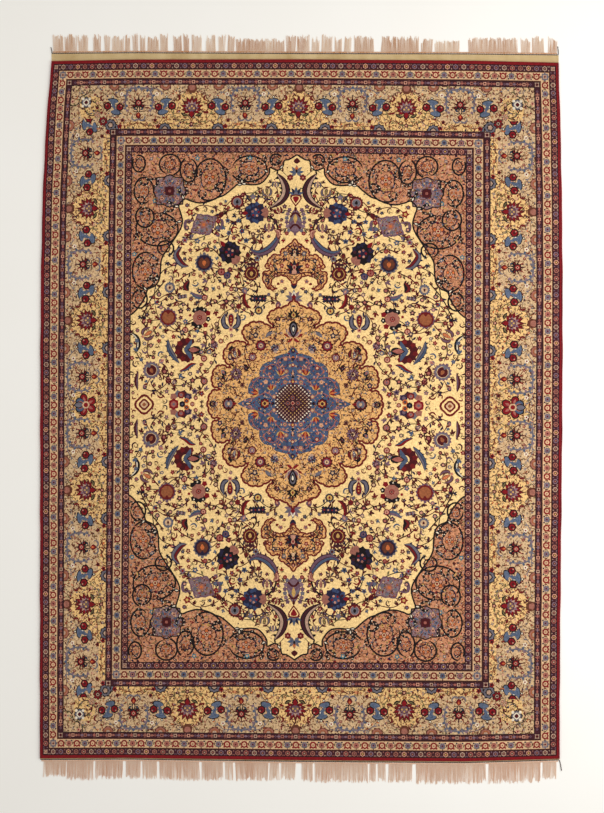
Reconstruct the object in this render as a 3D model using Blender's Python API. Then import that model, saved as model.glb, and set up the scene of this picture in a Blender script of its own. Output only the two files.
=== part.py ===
"""A hand-knotted medallion carpet, 2.62 x 3.76 m over its fringes, lying flat.

Frame: metres, +Z up, the carpet's length along Y. The origin is on the floor at the
centre of the carpet's bounding box. The end with the wide flat-woven web is at +Y.

The pieces are those that a weaver and a finisher make: the knotted pile slab, an
overcast selvedge on each long side, a flat-woven web at each end, the dark twined
yarn that locks each web, and a knotted heading with its fringe at each end.
"""

import math
import random

import bmesh
import bpy

MM = 0.001

# Driving sizes, in millimetres
PILE_HEIGHT = 10.0  # foundation and pile together
PILE_EDGE_ROUND = 2.5  # the pile leans over at its edges
SELVEDGE_WIDTH = 7.0
SELVEDGE_HEIGHT = 8.6
WEB_HEIGHT = 3.0
TWINE_WIDTH = 4.4
TWINE_HEIGHT = 4.0
HEADING_WIDTH = 8.0
STRAND_HEIGHT = 3.0
STRAND_TIP_HEIGHT = 2.0
PIECE_GAP = 0.3
STEPS_ACROSS, STEPS_ALONG = 32, 48  # straight stretches that make up a curved edge
LOCK_PITCH = 17.5  # one lock of fringe in each pitch of a full clump
LOCK_SHARE = 0.84  # of that pitch, the rest is the gap to the next lock
TIP_TAPER = 0.3  # how much narrower a lock is at its tip
LOOSE_SHARE = 0.75  # a loose end of the yarn, untwined, against the yarn itself

# The carpet as it was drawn, before the loom pulled it out of square: distances of its
# edges and of its inner field's edges from its centre lines, in millimetres.
DRAWN_X = (-1312.0, -836.0, 0.0, 836.0, 1312.0)
DRAWN_Y = (1749.0, 1273.5, 0.0, -1273.5, -1749.0)

# Where the woven carpet has those points. One row for each drawn Y, from the +Y end,
# and one (x, y) for each drawn X, in millimetres.
WOVEN = (
    ((-1251, 1740), (-839, 1748), (-6, 1749), (823, 1743), (1289, 1732)),
    ((-1286, 1277), (-846, 1283), (-21, 1282), (824, 1268), (1302, 1262)),
    ((-1308, 19), (-856, 22), (-43, 29), (817, 12), (1308, 4)),
    ((-1310, -1262), (-867, -1265), (-34, -1265), (817, -1272), (1296, -1273)),
    ((-1309, -1747), (-869, -1745), (-26, -1756), (816, -1763), (1294, -1749)),
)

# Sideways wander of the two long edges: (height in mm, waves along the carpet, phase)
EDGE_WANDER = ((1.6, 9.0, 0.4), (1.1, 17.0, 2.1))

# Width of the flat-woven web along each end, one value for each drawn X, in millimetres
WEB_WIDTH = {"far": (37.0, 32.0, 27.0, 31.0, 37.0), "near": (4.0, 4.0, 4.0, 4.0, 4.0)}

# Drawn X where the flat-woven webs, the twined yarns and the fringe headings stop
WEB_ENDS = (-1311.0, 1311.0)
TWINE_ENDS = (-1309.0, 1309.0)
HEADING_ENDS = (-1300.0, 1300.0)

# Loose ends of the twined yarn, as steps in mm from the corner that they leave:
# outwards along X, then outwards along Y.
LOOSE_ENDS = {
    "far_left": ((0.0, 8.0), (2.0, 18.0), (5.0, 30.0)),
    "far_right": ((1.0, 9.0), (0.0, 24.0), (-2.0, 42.0)),
    "near_left": (),
    "near_right": ((4.0, 10.0), (7.0, 24.0), (12.0, 54.0)),
}
YARN_KNOT = 1.7  # the far right end is knotted: how much wider it is there

# Fringe clumps: (start x, end x, length, splay of the tips), all but the last in mm
CLUMPS = {
    "far": (
        (-1240, -1190, 88, 0.98),
        (-1183, -1124, 90, 0.92),
        (-1114, -1068, 86, 1.04),
        (-1040, -1004, 88, 1.00),
        (-983, -958, 84, 1.00),
        (-947, -888, 78, 0.96),
        (-882, -856, 88, 1.04),
        (-842, -817, 90, 0.96),
        (-806, -780, 86, 1.00),
        (-770, -712, 76, 1.00),
        (-705, -668, 88, 1.00),
        (-637, -597, 86, 0.96),
        (-588, -562, 90, 1.00),
        (-547, -499, 86, 0.98),
        (-477, -428, 84, 1.02),
        (-413, -383, 86, 0.96),
        (-369, -336, 86, 1.04),
        (-326, -84, 68, 0.99),
        (-74, -30, 92, 1.00),
        (-21, 41, 88, 1.00),
        (52, 90, 80, 0.96),
        (101, 154, 90, 0.98),
        (168, 203, 88, 1.02),
        (214, 248, 80, 1.00),
        (266, 364, 84, 0.99),
        (399, 588, 82, 1.00),
        (600, 655, 70, 0.96),
        (670, 790, 60, 1.00),
        (838, 1083, 78, 0.99),
        (1101, 1145, 76, 1.02),
        (1155, 1216, 92, 0.97),
        (1235, 1279, 90, 0.98),
    ),
    "near": (
        (-1288, -1176, 80, 0.97),
        (-1173, -1040, 98, 0.99),
        (-1030, -892, 94, 0.99),
        (-878, -804, 92, 0.98),
        (-796, -722, 94, 0.98),
        (-710, -512, 98, 1.00),
        (-498, -392, 96, 0.99),
        (-382, -342, 94, 1.00),
        (-331, -164, 96, 1.00),
        (-156, -112, 92, 0.98),
        (-100, -27, 88, 0.97),
        (2, 58, 96, 0.98),
        (68, 333, 100, 1.00),
        (343, 374, 94, 1.00),
        (383, 422, 96, 0.98),
        (438, 556, 96, 0.99),
        (574, 922, 102, 1.00),
        (938, 1198, 104, 0.99),
        (1208, 1277, 88, 0.97),
    ),
}

PILE_COLOUR = (0.62, 0.42, 0.25)
RED_WOOL = (0.36, 0.02, 0.03)
WEB_COTTON = (0.78, 0.66, 0.44)
TWINE_WOOL = (0.10, 0.05, 0.03)
FRINGE_COTTON = (0.80, 0.62, 0.42)


def curved(knots, at):
    """How much each knot counts at a place, on one smooth curve through all of them."""
    found = []
    for knot in knots:
        share = 1.0
        for other in knots:
            if other != knot:
                share *= (at - other) / (knot - other)
        found.append(share)
    return found


def straight(knots, at):
    """How much each knot counts at a place, on straight lines from knot to knot."""
    found = [0.0] * len(knots)
    left = max(i for i in range(len(knots) - 1) if i == 0 or at >= knots[i])
    share = (at - knots[left]) / (knots[left + 1] - knots[left])
    found[left], found[left + 1] = 1.0 - share, share
    return found


def woven(x, y):
    """The place on the woven carpet, in mm, of a point of the drawing."""
    across, along = straight(DRAWN_X, x), curved(DRAWN_Y, y)
    place = [0.0, 0.0]
    for row_share, row in zip(along, WOVEN):
        for share, point in zip(across, row):
            place[0] += row_share * share * point[0]
            place[1] += row_share * share * point[1]
    edge_share = (x / DRAWN_X[-1]) ** 4
    for height, waves, phase in EDGE_WANDER:
        turn = waves * math.pi * y / DRAWN_Y[0] + phase
        # the wander only ever draws the edge in, so that the overall width holds
        pull = edge_share * height * (1.0 + math.sin(turn)) / 2.0
        place[0] -= math.copysign(pull, x)
    return place


def drawn_x(end, x):
    """The drawn X of the point at an end of the pile that was woven at x."""
    y = DRAWN_Y[0] if end == "far" else DRAWN_Y[-1]
    found = x
    for _ in range(12):
        found += x - woven(found, y)[0]
    return found


def steps(low, high, count):
    return [low + (high - low) * i / count for i in range(count + 1)]


def sheet_material(name, colour, roughness=0.95):
    material = bpy.data.materials.new(name)
    material.use_nodes = True
    shader = material.node_tree.nodes["Principled BSDF"]
    shader.inputs["Base Color"].default_value = (*colour, 1.0)
    shader.inputs["Roughness"].default_value = roughness
    shader.inputs["Metallic"].default_value = 0.0
    return material


def add_solid(name, points, faces, material, is_round=False):
    """One closed solid from points in mm. Its faces are turned outwards here."""
    mesh = bpy.data.meshes.new(name)
    mesh.from_pydata([[c * MM for c in p] for p in points], [], faces)
    shaper = bmesh.new()
    shaper.from_mesh(mesh)
    bmesh.ops.recalc_face_normals(shaper, faces=shaper.faces)
    shaper.to_mesh(mesh)
    shaper.free()
    mesh.materials.append(material)
    if is_round:
        mesh.shade_smooth()
        mesh.set_sharp_from_angle(angle=math.radians(65.0))
    solid = bpy.data.objects.new(name, mesh)
    bpy.context.scene.collection.objects.link(solid)
    return solid


def swept(name, rings, material, is_round=False):
    """A solid from a row of rings with the same number of points, closed at both ends."""
    around = len(rings[0])
    points = [p for ring in rings for p in ring]
    faces = []
    for i in range(len(rings) - 1):
        for k in range(around):
            a, b = i * around + k, i * around + (k + 1) % around
            faces.append((a, b, b + around, a + around))
    faces.append(tuple(range(around)))
    last = (len(rings) - 1) * around
    faces.append(tuple(last + k for k in range(around)))
    return add_solid(name, points, faces, material, is_round)


def pile_slab(material):
    """The knotted carpet itself: one slab with the woven outline and leaning edges."""
    x_end, y_end = DRAWN_X[-1], DRAWN_Y[0]
    drawn = [(x, -y_end) for x in steps(-x_end, x_end, STEPS_ACROSS)[:-1]]
    drawn += [(x_end, y) for y in steps(-y_end, y_end, STEPS_ALONG)[:-1]]
    drawn += [(x, y_end) for x in steps(x_end, -x_end, STEPS_ACROSS)[:-1]]
    drawn += [(-x_end, y) for y in steps(y_end, -y_end, STEPS_ALONG)[:-1]]
    levels = (
        (0.0, 0.0),
        (0.0, PILE_HEIGHT - PILE_EDGE_ROUND),
        (0.3 * PILE_EDGE_ROUND, PILE_HEIGHT - 0.3 * PILE_EDGE_ROUND),
        (PILE_EDGE_ROUND, PILE_HEIGHT),
    )
    rings = []
    for inset, z in levels:
        ring = []
        for x, y in drawn:
            x_at, y_at = woven(x, y)
            x_at -= x / x_end * (SELVEDGE_WIDTH + PIECE_GAP + inset)
            ring.append((x_at, y_at - y / y_end * inset, z))
        rings.append(ring)
    return swept("pile", rings, material)


def selvedge(side, material):
    """The overcast edge cord of one long side, flat underneath."""
    half, top = SELVEDGE_WIDTH / 2.0, SELVEDGE_HEIGHT
    section = (
        (-0.75 * half, 0.0),
        (0.75 * half, 0.0),
        (half, 0.25 * top),
        (half, 0.72 * top),
        (0.45 * half, top),
        (-0.45 * half, top),
        (-half, 0.72 * top),
        (-half, 0.25 * top),
    )
    rings = []
    for y in steps(DRAWN_Y[-1], DRAWN_Y[0], STEPS_ALONG):
        x_at, y_at = woven(side * DRAWN_X[-1], y)
        middle = x_at - side * half
        rings.append([(middle + side * out, y_at, z) for out, z in section])
    name = "selvedge_" + ("left" if side < 0 else "right")
    return swept(name, rings, material, is_round=True)


def end_line(end, x, out):
    """A point in mm beyond an end of the pile, at a drawn X, out from its last knots."""
    sign = 1.0 if end == "far" else -1.0
    x_at, y_at = woven(x, sign * DRAWN_Y[0])
    return x_at, y_at + sign * out


def web_out(end, x):
    """How far the web's outer edge lies from the pile at a drawn X."""
    return sum(w * s for w, s in zip(WEB_WIDTH[end], straight(DRAWN_X, x)))


def web(end, material):
    """The flat-woven strip between the pile and the twined yarn."""
    rings = []
    for x in steps(*WEB_ENDS, STEPS_ACROSS):
        inner = end_line(end, x, PIECE_GAP)
        outer = end_line(end, x, PIECE_GAP + web_out(end, x))
        rings.append(
            [(*inner, 0.0), (*outer, 0.0), (*outer, WEB_HEIGHT), (*inner, WEB_HEIGHT)]
        )
    return swept("web_" + end, rings, material)


def twine_line(end, x):
    return end_line(end, x, 2.0 * PIECE_GAP + web_out(end, x) + TWINE_WIDTH / 2.0)


def twine(end, material):
    """The dark twined yarn along the web's outer edge, with its loose ends."""
    sign = 1.0 if end == "far" else -1.0
    line = [(*twine_line(end, x), 1.0) for x in steps(*TWINE_ENDS, STEPS_ACROSS)]
    for side, corner in ((-1.0, line[0]), (1.0, line[-1])):
        name = end + ("_left" if side < 0 else "_right")
        ends = [
            (corner[0] + side * out_x, corner[1] + sign * out_y, LOOSE_SHARE)
            for out_x, out_y in LOOSE_ENDS[name]
        ]
        if name == "far_right":
            ends[0] = (ends[0][0], ends[0][1], YARN_KNOT)
        line = ends[::-1] + line if side < 0 else line + ends
    rings = []
    for i, (x, y, size) in enumerate(line):
        before, after = line[max(i - 1, 0)], line[min(i + 1, len(line) - 1)]
        way = math.atan2(after[1] - before[1], after[0] - before[0])
        side_x, side_y = -math.sin(way), math.cos(way)
        half, top = size * TWINE_WIDTH / 2.0, size * TWINE_HEIGHT
        rings.append(
            [
                (x + side_x * out, y + side_y * out, z)
                for out, z in (
                    (-0.6 * half, 0.0),
                    (0.6 * half, 0.0),
                    (half, 0.5 * top),
                    (0.0, top),
                    (-half, 0.5 * top),
                )
            ]
        )
    return swept("twine_" + end, rings, material, is_round=True)


def locks_of(end):
    """Each lock of one fringe: (left x, right x, length, tip shift), in woven mm."""
    rng = random.Random(end)
    found = []
    for start, stop, length, splay in CLUMPS[end]:
        count = max(1, round((stop - start) / LOCK_PITCH))
        pitch = (stop - start) / count
        middle = (start + stop) / 2.0
        lean = rng.uniform(-2.0, 2.0)
        for i in range(count):
            at = start + (i + 0.5) * pitch
            half = LOCK_SHARE * pitch / 2.0
            drop = rng.uniform(0.0, 7.0)
            shift = (at - middle) * (splay - 1.0) + lean + rng.uniform(-0.6, 0.6)
            found.append((at - half, at + half, length - drop, shift))
    return found


def heading_edges(end, x):
    """The inner and outer y of an end's heading strip at a woven x."""
    drawn = drawn_x(end, x)
    out = web_out(end, drawn) + 3.0 * PIECE_GAP + TWINE_WIDTH
    inner = end_line(end, drawn, out)[1]
    return inner, inner + (HEADING_WIDTH if end == "far" else -HEADING_WIDTH)


def bridge(faces, ring, after, sides=(0, 1, 2, 3)):
    """Faces between two rings of four points, along the sides that start at these points."""
    for k in sides:
        n = (k + 1) % 4
        faces.append((ring[k], after[k], after[n], ring[n]))


def fringe(end, material):
    """The knotted heading of one end and the locks that hang from it, one solid."""
    out_way = 1.0 if end == "far" else -1.0
    points, faces = [], []

    def ring_of(corners):
        points.extend(corners)
        return list(range(len(points) - 4, len(points)))

    def station(x):
        """The heading's section at x, from its inner edge outwards and back over the top."""
        inner, outer = heading_edges(end, x)
        top = STRAND_HEIGHT
        return ring_of([(x, inner, 0.0), (x, outer, 0.0), (x, outer, top), (x, inner, top)])

    start, stop = (end_line(end, x, 0.0)[0] for x in HEADING_ENDS)
    before = station(start)
    faces.append(before)
    for left, right, length, shift in locks_of(end):
        left_side, right_side = station(left), station(right)
        bridge(faces, before, left_side)
        bridge(faces, left_side, right_side, sides=(0, 2, 3))  # the lock leaves at side 1
        middle, half = (left + right) / 2.0, (right - left) / 2.0
        root = heading_edges(end, middle)[1]
        ring = [left_side[1], right_side[1], right_side[2], left_side[2]]
        for part in (0.5, 1.0):
            x, y = middle + shift * part**1.5, root + out_way * length * part
            wide = half * (1.0 - TIP_TAPER * part)
            top = STRAND_HEIGHT + (STRAND_TIP_HEIGHT - STRAND_HEIGHT) * part
            after = ring_of(
                [(x - wide, y, 0.0), (x + wide, y, 0.0), (x + wide, y, top), (x - wide, y, top)]
            )
            bridge(faces, ring, after)
            ring = after
        faces.append(ring)
        before = right_side
    after = station(stop)
    bridge(faces, before, after)
    faces.append(after)
    return add_solid("fringe_" + end, points, faces, material)


def main():
    for old in list(bpy.data.objects):
        bpy.data.objects.remove(old)
    pile_slab(sheet_material("wool_pile", PILE_COLOUR))
    red = sheet_material("red_wool", RED_WOOL)
    for side in (-1.0, 1.0):
        selvedge(side, red)
    cotton = sheet_material("web_cotton", WEB_COTTON)
    yarn = sheet_material("twine_wool", TWINE_WOOL)
    warps = sheet_material("fringe_cotton", FRINGE_COTTON)
    for end in ("far", "near"):
        web(end, cotton)
        twine(end, yarn)
        fringe(end, warps)


main()
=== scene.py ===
import math
import random

import bpy
import numpy as np
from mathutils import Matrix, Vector
from mathutils.bvhtree import BVHTree
from mathutils.geometry import delaunay_2d_cdt


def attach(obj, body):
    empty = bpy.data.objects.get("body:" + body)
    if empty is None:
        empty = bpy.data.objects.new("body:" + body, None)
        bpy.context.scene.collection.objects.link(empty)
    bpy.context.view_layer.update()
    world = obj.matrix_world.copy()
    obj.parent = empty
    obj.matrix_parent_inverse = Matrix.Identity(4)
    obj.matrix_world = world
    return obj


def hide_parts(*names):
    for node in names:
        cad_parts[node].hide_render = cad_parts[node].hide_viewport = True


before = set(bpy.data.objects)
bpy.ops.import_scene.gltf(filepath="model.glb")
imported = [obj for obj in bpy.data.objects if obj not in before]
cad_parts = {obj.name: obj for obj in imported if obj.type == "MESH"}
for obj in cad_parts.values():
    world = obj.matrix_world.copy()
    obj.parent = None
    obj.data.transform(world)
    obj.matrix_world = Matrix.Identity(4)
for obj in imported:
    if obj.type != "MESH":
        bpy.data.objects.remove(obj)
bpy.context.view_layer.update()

mm = 0.001

# The dyed yarns as they look in even daylight (sRGB, 0 to 255). A fourth number is the share of
# small flowers strewn over that yarn where it is a ground
dyes = {
    "ivory": (246, 208, 142, 0.06),
    "cream": (208, 170, 130),
    "white": (232, 216, 190),
    "goldGround": (230, 186, 122, 0.55),
    "dustGround": (206, 172, 130, 0.55),
    "roseGround": (194, 132, 96, 0.7),
    "amberGround": (226, 164, 102, 0.65),
    "tanGround": (222, 168, 104, 0.45),
    "blueGround": (68, 84, 112, 0.4),
    "mauveGround": (136, 108, 112, 0.95),
    "gold": (200, 158, 88),
    "russet": (150, 86, 52),
    "orange": (196, 104, 54),
    "clay": (156, 98, 82),
    "rose": (160, 92, 80),
    "pink": (196, 140, 116),
    "crimson": (124, 12, 20),
    "red": (104, 20, 20),
    "wine": (72, 14, 18),
    "plum": (62, 24, 32),
    "black": (22, 12, 14),
    "navy": (34, 28, 52),
    "blue": (52, 64, 96),
    "sky": (90, 100, 120),
    "steel": (70, 82, 104),
    "slate": (104, 98, 106),
    "heather": (106, 76, 90),
    "mauve": (126, 98, 108),
    "dust": (178, 144, 122),
    "brown": (98, 52, 34),
    "olive": (108, 96, 60),
    "teal": (70, 112, 124),
}


def linear(colour):
    found = []
    for value in colour[:3]:
        share = value / 255.0
        found.append(share / 12.92 if share <= 0.04045 else ((share + 0.055) / 1.055) ** 2.4)
    return found


# How the drawn carpet was pulled out of square on the loom: drawn lines in cm, woven points in mm
loom = {
    "drawnX": (-131.2, -83.6, 0.0, 83.6, 131.2),
    "drawnY": (174.9, 127.35, 0.0, -127.35, -174.9),
    "woven": (
        ((-1251, 1740), (-839, 1748), (-6, 1749), (823, 1743), (1289, 1732)),
        ((-1286, 1277), (-846, 1283), (-21, 1282), (824, 1268), (1302, 1262)),
        ((-1308, 19), (-856, 22), (-43, 29), (817, 12), (1308, 4)),
        ((-1310, -1262), (-867, -1265), (-34, -1265), (817, -1272), (1296, -1273)),
        ((-1309, -1747), (-869, -1745), (-26, -1756), (816, -1763), (1294, -1749)),
    ),
    "edgeWander": ((1.6, 9.0, 0.4), (1.1, 17.0, 2.1)),  # height in mm, waves, phase
}
halfWidth = loom["drawnX"][-1]
halfLength = loom["drawnY"][0]


def wovenPlace(points):
    # metres on the woven carpet for points of the drawing in cm
    points = np.asarray(points, float)
    x, y = points[:, 0], points[:, 1]
    knotsX, knotsY = np.array(loom["drawnX"]), np.array(loom["drawnY"])
    left = np.clip(np.searchsorted(knotsX, x, side="right") - 1, 0, len(knotsX) - 2)
    share = ((x - knotsX[left]) / (knotsX[left + 1] - knotsX[left]))[:, None]
    along = []
    for knot in knotsY:
        others = knotsY[knotsY != knot]
        along.append(np.prod([(y - other) / (knot - other) for other in others], axis=0))
    rows = np.einsum("kn,kxc->nxc", np.array(along), np.array(loom["woven"], float))
    each = np.arange(len(x))
    place = rows[each, left] * (1.0 - share) + rows[each, left + 1] * share
    for height, waves, phase in loom["edgeWander"]:
        turn = waves * math.pi * y / halfLength + phase
        pull = (x / halfWidth) ** 4 * height * (1.0 + np.sin(turn)) / 2.0
        place[:, 0] -= np.sign(x) * pull
    return place * mm


# Outlines, as rows of (across, along) around a root or a middle at the origin

pointedSide = ((0.14, 0.5), (0.4, 1.0), (0.7, 0.66))
roundSide = ((0.16, 0.5), (0.55, 1.0), (0.84, 0.86), (0.97, 0.4))


def disc(radius=1.0, corners=10, x=0.0, y=0.0):
    turns = (np.arange(corners) + 0.5) * 2.0 * math.pi / corners
    return np.column_stack([x + radius * np.sin(turns), y + radius * np.cos(turns)])


def lobed(petals, notch, radius=1.0, steps=3):
    turns = np.arange(petals * steps) * 2.0 * math.pi / (petals * steps)
    reach = radius * (1.0 - notch * (1.0 - np.abs(np.cos(turns * petals / 2.0))))
    return np.column_stack([np.sin(turns), np.cos(turns)]) * reach[:, None]


def starShape(points, inner, radius=1.0):
    turns = np.arange(points * 2) * math.pi / points
    reach = radius * np.where(np.arange(points * 2) % 2, inner, 1.0)
    return np.column_stack([np.sin(turns), np.cos(turns)]) * reach[:, None]


def petalShape(width, length=1.0, side=pointedSide):
    right = [(width / 2.0 * out, length * at) for at, out in side]
    left = [(-x, y) for x, y in reversed(right)]
    return np.array([(0.0, 0.0)] + right + [(0.0, length)] + left)


def roundPetal(width, length=1.0):
    return petalShape(width, length, roundSide)


def leafShape(width, length=1.0, bend=0.0, steps=3):
    share = np.linspace(0.0, 1.0, steps + 2)[1:-1]
    spine = bend * np.sin(math.pi * share)
    half = width / 2.0 * np.sin(math.pi * share) ** 0.7
    right = np.column_stack([spine + half, share * length])
    left = np.column_stack([spine - half, share * length])[::-1]
    return np.vstack([[(0.0, 0.0)], right, [(0.0, length)], left])


outlines = {"petal": petalShape, "round": roundPetal, "leaf": leafShape, "lobed": lobed, "disc": disc}


def smooth(points, steps=5):
    # a curve through all the points
    points = np.asarray(points, float)
    ends = np.vstack([2 * points[0] - points[1], points, 2 * points[-1] - points[-2]])
    share = np.linspace(0.0, 1.0, steps, endpoint=False)[:, None]
    runs = []
    for before, start, stop, after in zip(ends, ends[1:], ends[2:], ends[3:]):
        bend = 2 * before - 5 * start + 4 * stop - after
        twist = 3 * start - before - 3 * stop + after
        runs.append(start + ((stop - before) * share + bend * share**2 + twist * share**3) / 2.0)
    return np.vstack(runs + [points[-1:]])


def bothSides(path, half):
    way = np.gradient(path, axis=0)
    way /= np.maximum(np.linalg.norm(way, axis=1), 1e-9)[:, None]
    side = np.column_stack([-way[:, 1], way[:, 0]]) * half[:, None]
    return path + side, path - side


def crossesItself(outline):
    count = len(outline)
    if count < 4:
        return False
    start, stop = outline, np.roll(outline, -1, axis=0)

    def sideOf(a, b, c):
        first = (b[..., 0] - a[..., 0]) * (c[..., 1] - a[..., 1])
        return first - (b[..., 1] - a[..., 1]) * (c[..., 0] - a[..., 0])

    a, b = start[:, None], stop[:, None]
    c, d = start[None], stop[None]
    apart = (sideOf(a, b, c) * sideOf(a, b, d) < 0) & (sideOf(c, d, a) * sideOf(c, d, b) < 0)
    return bool(apart.any())


def areaOf(outline):
    x, y = outline[:, 0], outline[:, 1]
    return 0.5 * float(np.sum(x * np.roll(y, -1) - np.roll(x, -1) * y))


def insideOf(outline, points):
    points = np.asarray(points, float)
    found = np.zeros(len(points), bool)
    for start, stop in zip(outline, np.roll(outline, -1, axis=0)):
        crosses = (start[1] > points[:, 1]) != (stop[1] > points[:, 1])
        rise = np.where(stop[1] == start[1], 1e-12, stop[1] - start[1])
        at = start[0] + (points[:, 1] - start[1]) * (stop[0] - start[0]) / rise
        found ^= crosses & (points[:, 0] < at)
    return found


class Drawing:
    # the shapes of one part of the pattern, in the order in which they are painted

    def __init__(self, ground):
        self.ground = ground
        self.shapes = []  # (outline, dye, shade)
        self.taken = []  # (x, y, radius)
        self.shades = random.Random(ground + "yarn")
        self.shade = 1.0

    def dip(self):
        self.shade = self.shades.uniform(0.93, 1.07)

    def add(self, outline, dye):
        # a side far shorter than a knot goes
        near = np.linalg.norm(outline - np.roll(outline, 1, axis=0), axis=1) < 0.24
        kept = outline[~(near & ~np.roll(near, 1))] if len(outline) > 6 else outline
        kept = kept[np.linalg.norm(kept - np.roll(kept, 1, axis=0), axis=1) > 1e-4]
        if len(kept) < 3 or crossesItself(kept):
            return False
        size = areaOf(kept)
        if abs(size) > 1e-4:
            self.shapes.append((kept if size > 0 else kept[::-1], dye, self.shade))
        return True

    def isFree(self, x, y, radius):
        if not self.taken:
            return True
        taken = np.array(self.taken)
        return bool((np.hypot(taken[:, 0] - x, taken[:, 1] - y) >= taken[:, 2] + radius).all())


class Spot:
    # a place on a drawing with its own directions and scale

    def __init__(self, drawing, origin=(0.0, 0.0), right=(1.0, 0.0), top=(0.0, 1.0)):
        self.drawing = drawing
        self.origin, self.right, self.top = (np.array(v, float) for v in (origin, right, top))

    def at(self, x, y, size=1.0, turn=0.0, flip=False):
        # turn is in degrees, and leans the top towards the right
        lean = math.radians(turn)
        right = self.right * math.cos(lean) - self.top * math.sin(lean)
        top = self.right * math.sin(lean) + self.top * math.cos(lean)
        origin = self.origin + self.right * x + self.top * y
        return Spot(self.drawing, origin, right * (-size if flip else size), top * size)

    def place(self, points):
        points = np.asarray(points, float)
        return self.origin + points[:, :1] * self.right + points[:, 1:] * self.top

    def paint(self, outline, dye):
        self.drawing.dip()
        self.drawing.add(self.place(outline), dye)
        return self

    def line(self, points, width, dye, thinStart=0.0, thinStop=0.0, steps=5):
        # a line along a curve, whose width eases in and out over the two shares of its length
        path = smooth(points, steps) if steps else np.asarray(points, float)
        share = np.linspace(0.0, 1.0, len(path))
        half = np.full(len(path), width / 2.0)
        if thinStart:
            half *= np.clip(share / thinStart, 0.02, 1.0) ** 0.7
        if thinStop:
            half *= np.clip((1.0 - share) / thinStop, 0.02, 1.0) ** 0.7
        left, right = bothSides(path, half)
        left, right = self.place(left), self.place(right)
        self.drawing.dip()
        if not self.drawing.add(np.vstack([left, right[::-1]]), dye):
            for i in range(len(left) - 1):
                self.drawing.add(np.array([left[i], right[i], right[i + 1], left[i + 1]]), dye)
        return self

    def hold(self, radius, x=0.0, y=0.0):
        middle = self.place([(x, y)])[0]
        self.drawing.taken.append((*middle, radius * float(np.linalg.norm(self.top))))
        return self


def inTurn(used, i):
    # one dye of several, which are words joined by / or a tuple
    used = used.split("/") if isinstance(used, str) else used
    return used[i % len(used)]


def rowsOf(table):
    # the rows under a table's line of column names, as words and numbers
    def read(word):
        return word if word[-1].isalpha() else float(word) if "." in word else int(word)

    return [[read(word) for word in line.split()] for line in table.splitlines()[1:]]


def pairsOf(row):
    return np.reshape(row, (-1, 2))


def plant(spot, table):
    # a shape or motif for each row, painted in this order. A kind's own measures and dyes end its row
    for x, y, size, lean, kind, *rest in rowsOf(table):
        place = spot.at(x, y, size, lean)
        if kind in outlines:
            place.paint(outlines[kind](*rest[:-1]), rest[-1])
        else:
            motifs[kind](place, *rest)


# Motifs. A flower has a radius of 1, and a palmette, bud or leaf a height of 1

def flower(spot, petal, heart, petals=5):
    spot.paint(lobed(petals, 0.4, steps=2), petal)
    spot.paint(disc(0.36, 6), heart)


def rings(spot, *layers):
    # lobed discs one inside the other: the radius, lobes, notch and dye of each in turn
    for i in range(0, len(layers), 4):
        radius, lobes, notch, dye = layers[i:i + 4]
        spot.paint(lobed(lobes, notch, radius, 2), dye)


def knobs(spot, turns, reach, size, used):
    # small lobes on an arc round a place
    for i, turn in enumerate(turns):
        spot.at(0, 0, turn=turn).at(0, reach, size).paint(lobed(5, 0.24, steps=2), inTurn(used, i))


def rosette(spot, edge, petal, other, halo, heart, petals=8):
    # separate pointed petals round a ringed heart
    width = 1.5 * math.sin(math.pi / petals)
    spot.paint(disc(0.7, 10), edge)
    for i in range(petals):
        leaf = spot.at(0, 0, turn=360.0 * i / petals)
        leaf.paint(roundPetal(width, 1.0), edge)
        leaf.paint(roundPetal(width * 0.7, 0.9), (petal, other)[i % 2])
    rings(spot, 0.46, 7, 0.1, edge, 0.36, 6, 0.1, halo, 0.2, 4, 0.1, heart)


def roundFlower(spot, rim, ring, halo, face, heart):
    # a scalloped ring round a plain face with a drop in it
    rings(spot, 1.0, 15, 0.16, rim, 0.83, 12, 0.1, ring, 0.64, 9, 0.06, halo, 0.57, 9, 0.04, face)
    spot.at(0, 0.8, turn=180).paint(petalShape(0.44, 0.5), ring)
    spot.at(0, 0.92, 0.17).paint(disc(1.0, 6), rim)
    spot.at(0, -0.34).paint(roundPetal(0.4, 0.56), heart)


def pansy(spot, face, edge, blob, heart):
    # a round face with dark lobes on some sides of it
    knobs(spot, (-36, -12, 12, 36, -100, 135, 158, 181), 0.78, 0.28, edge)
    knobs(spot, (-63, -141), 0.86, 0.28, blob)
    rings(spot, 0.68, 9, 0.1, face)
    knobs(spot, (-30, 0, 30, -100, 145, 172), 0.82, 0.08, ("white", edge, "white"))
    knobs(spot, (76,), 0.9, 0.15, blob)
    rings(spot, 0.26, 7, 0.2, blob, 0.17, 5, 0.2, face, 0.08, 3, 0.1, heart)


def cluster(spot, edge, knob, other, lobe, heart):
    # dark knobs on three sides, and a broad pale lobe on the fourth
    spot.paint(roundPetal(0.46, 0.54), lobe)
    knobs(spot, range(48, 313, 33), 0.31, 0.16, (edge, knob))
    rings(spot, 0.3, 9, 0.2, edge, 0.2, 7, 0.2, knob)
    knobs(spot, range(60, 301, 48), 0.3, 0.07, (other, knob, edge))
    knobs(spot, (10, 82, 154, 226, 298), 0.13, 0.055, (heart, "pink", lobe))
    spot.at(0, -0.3, 0.3, turn=180).paint(petalShape(0.6, 1.0), heart)


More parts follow.
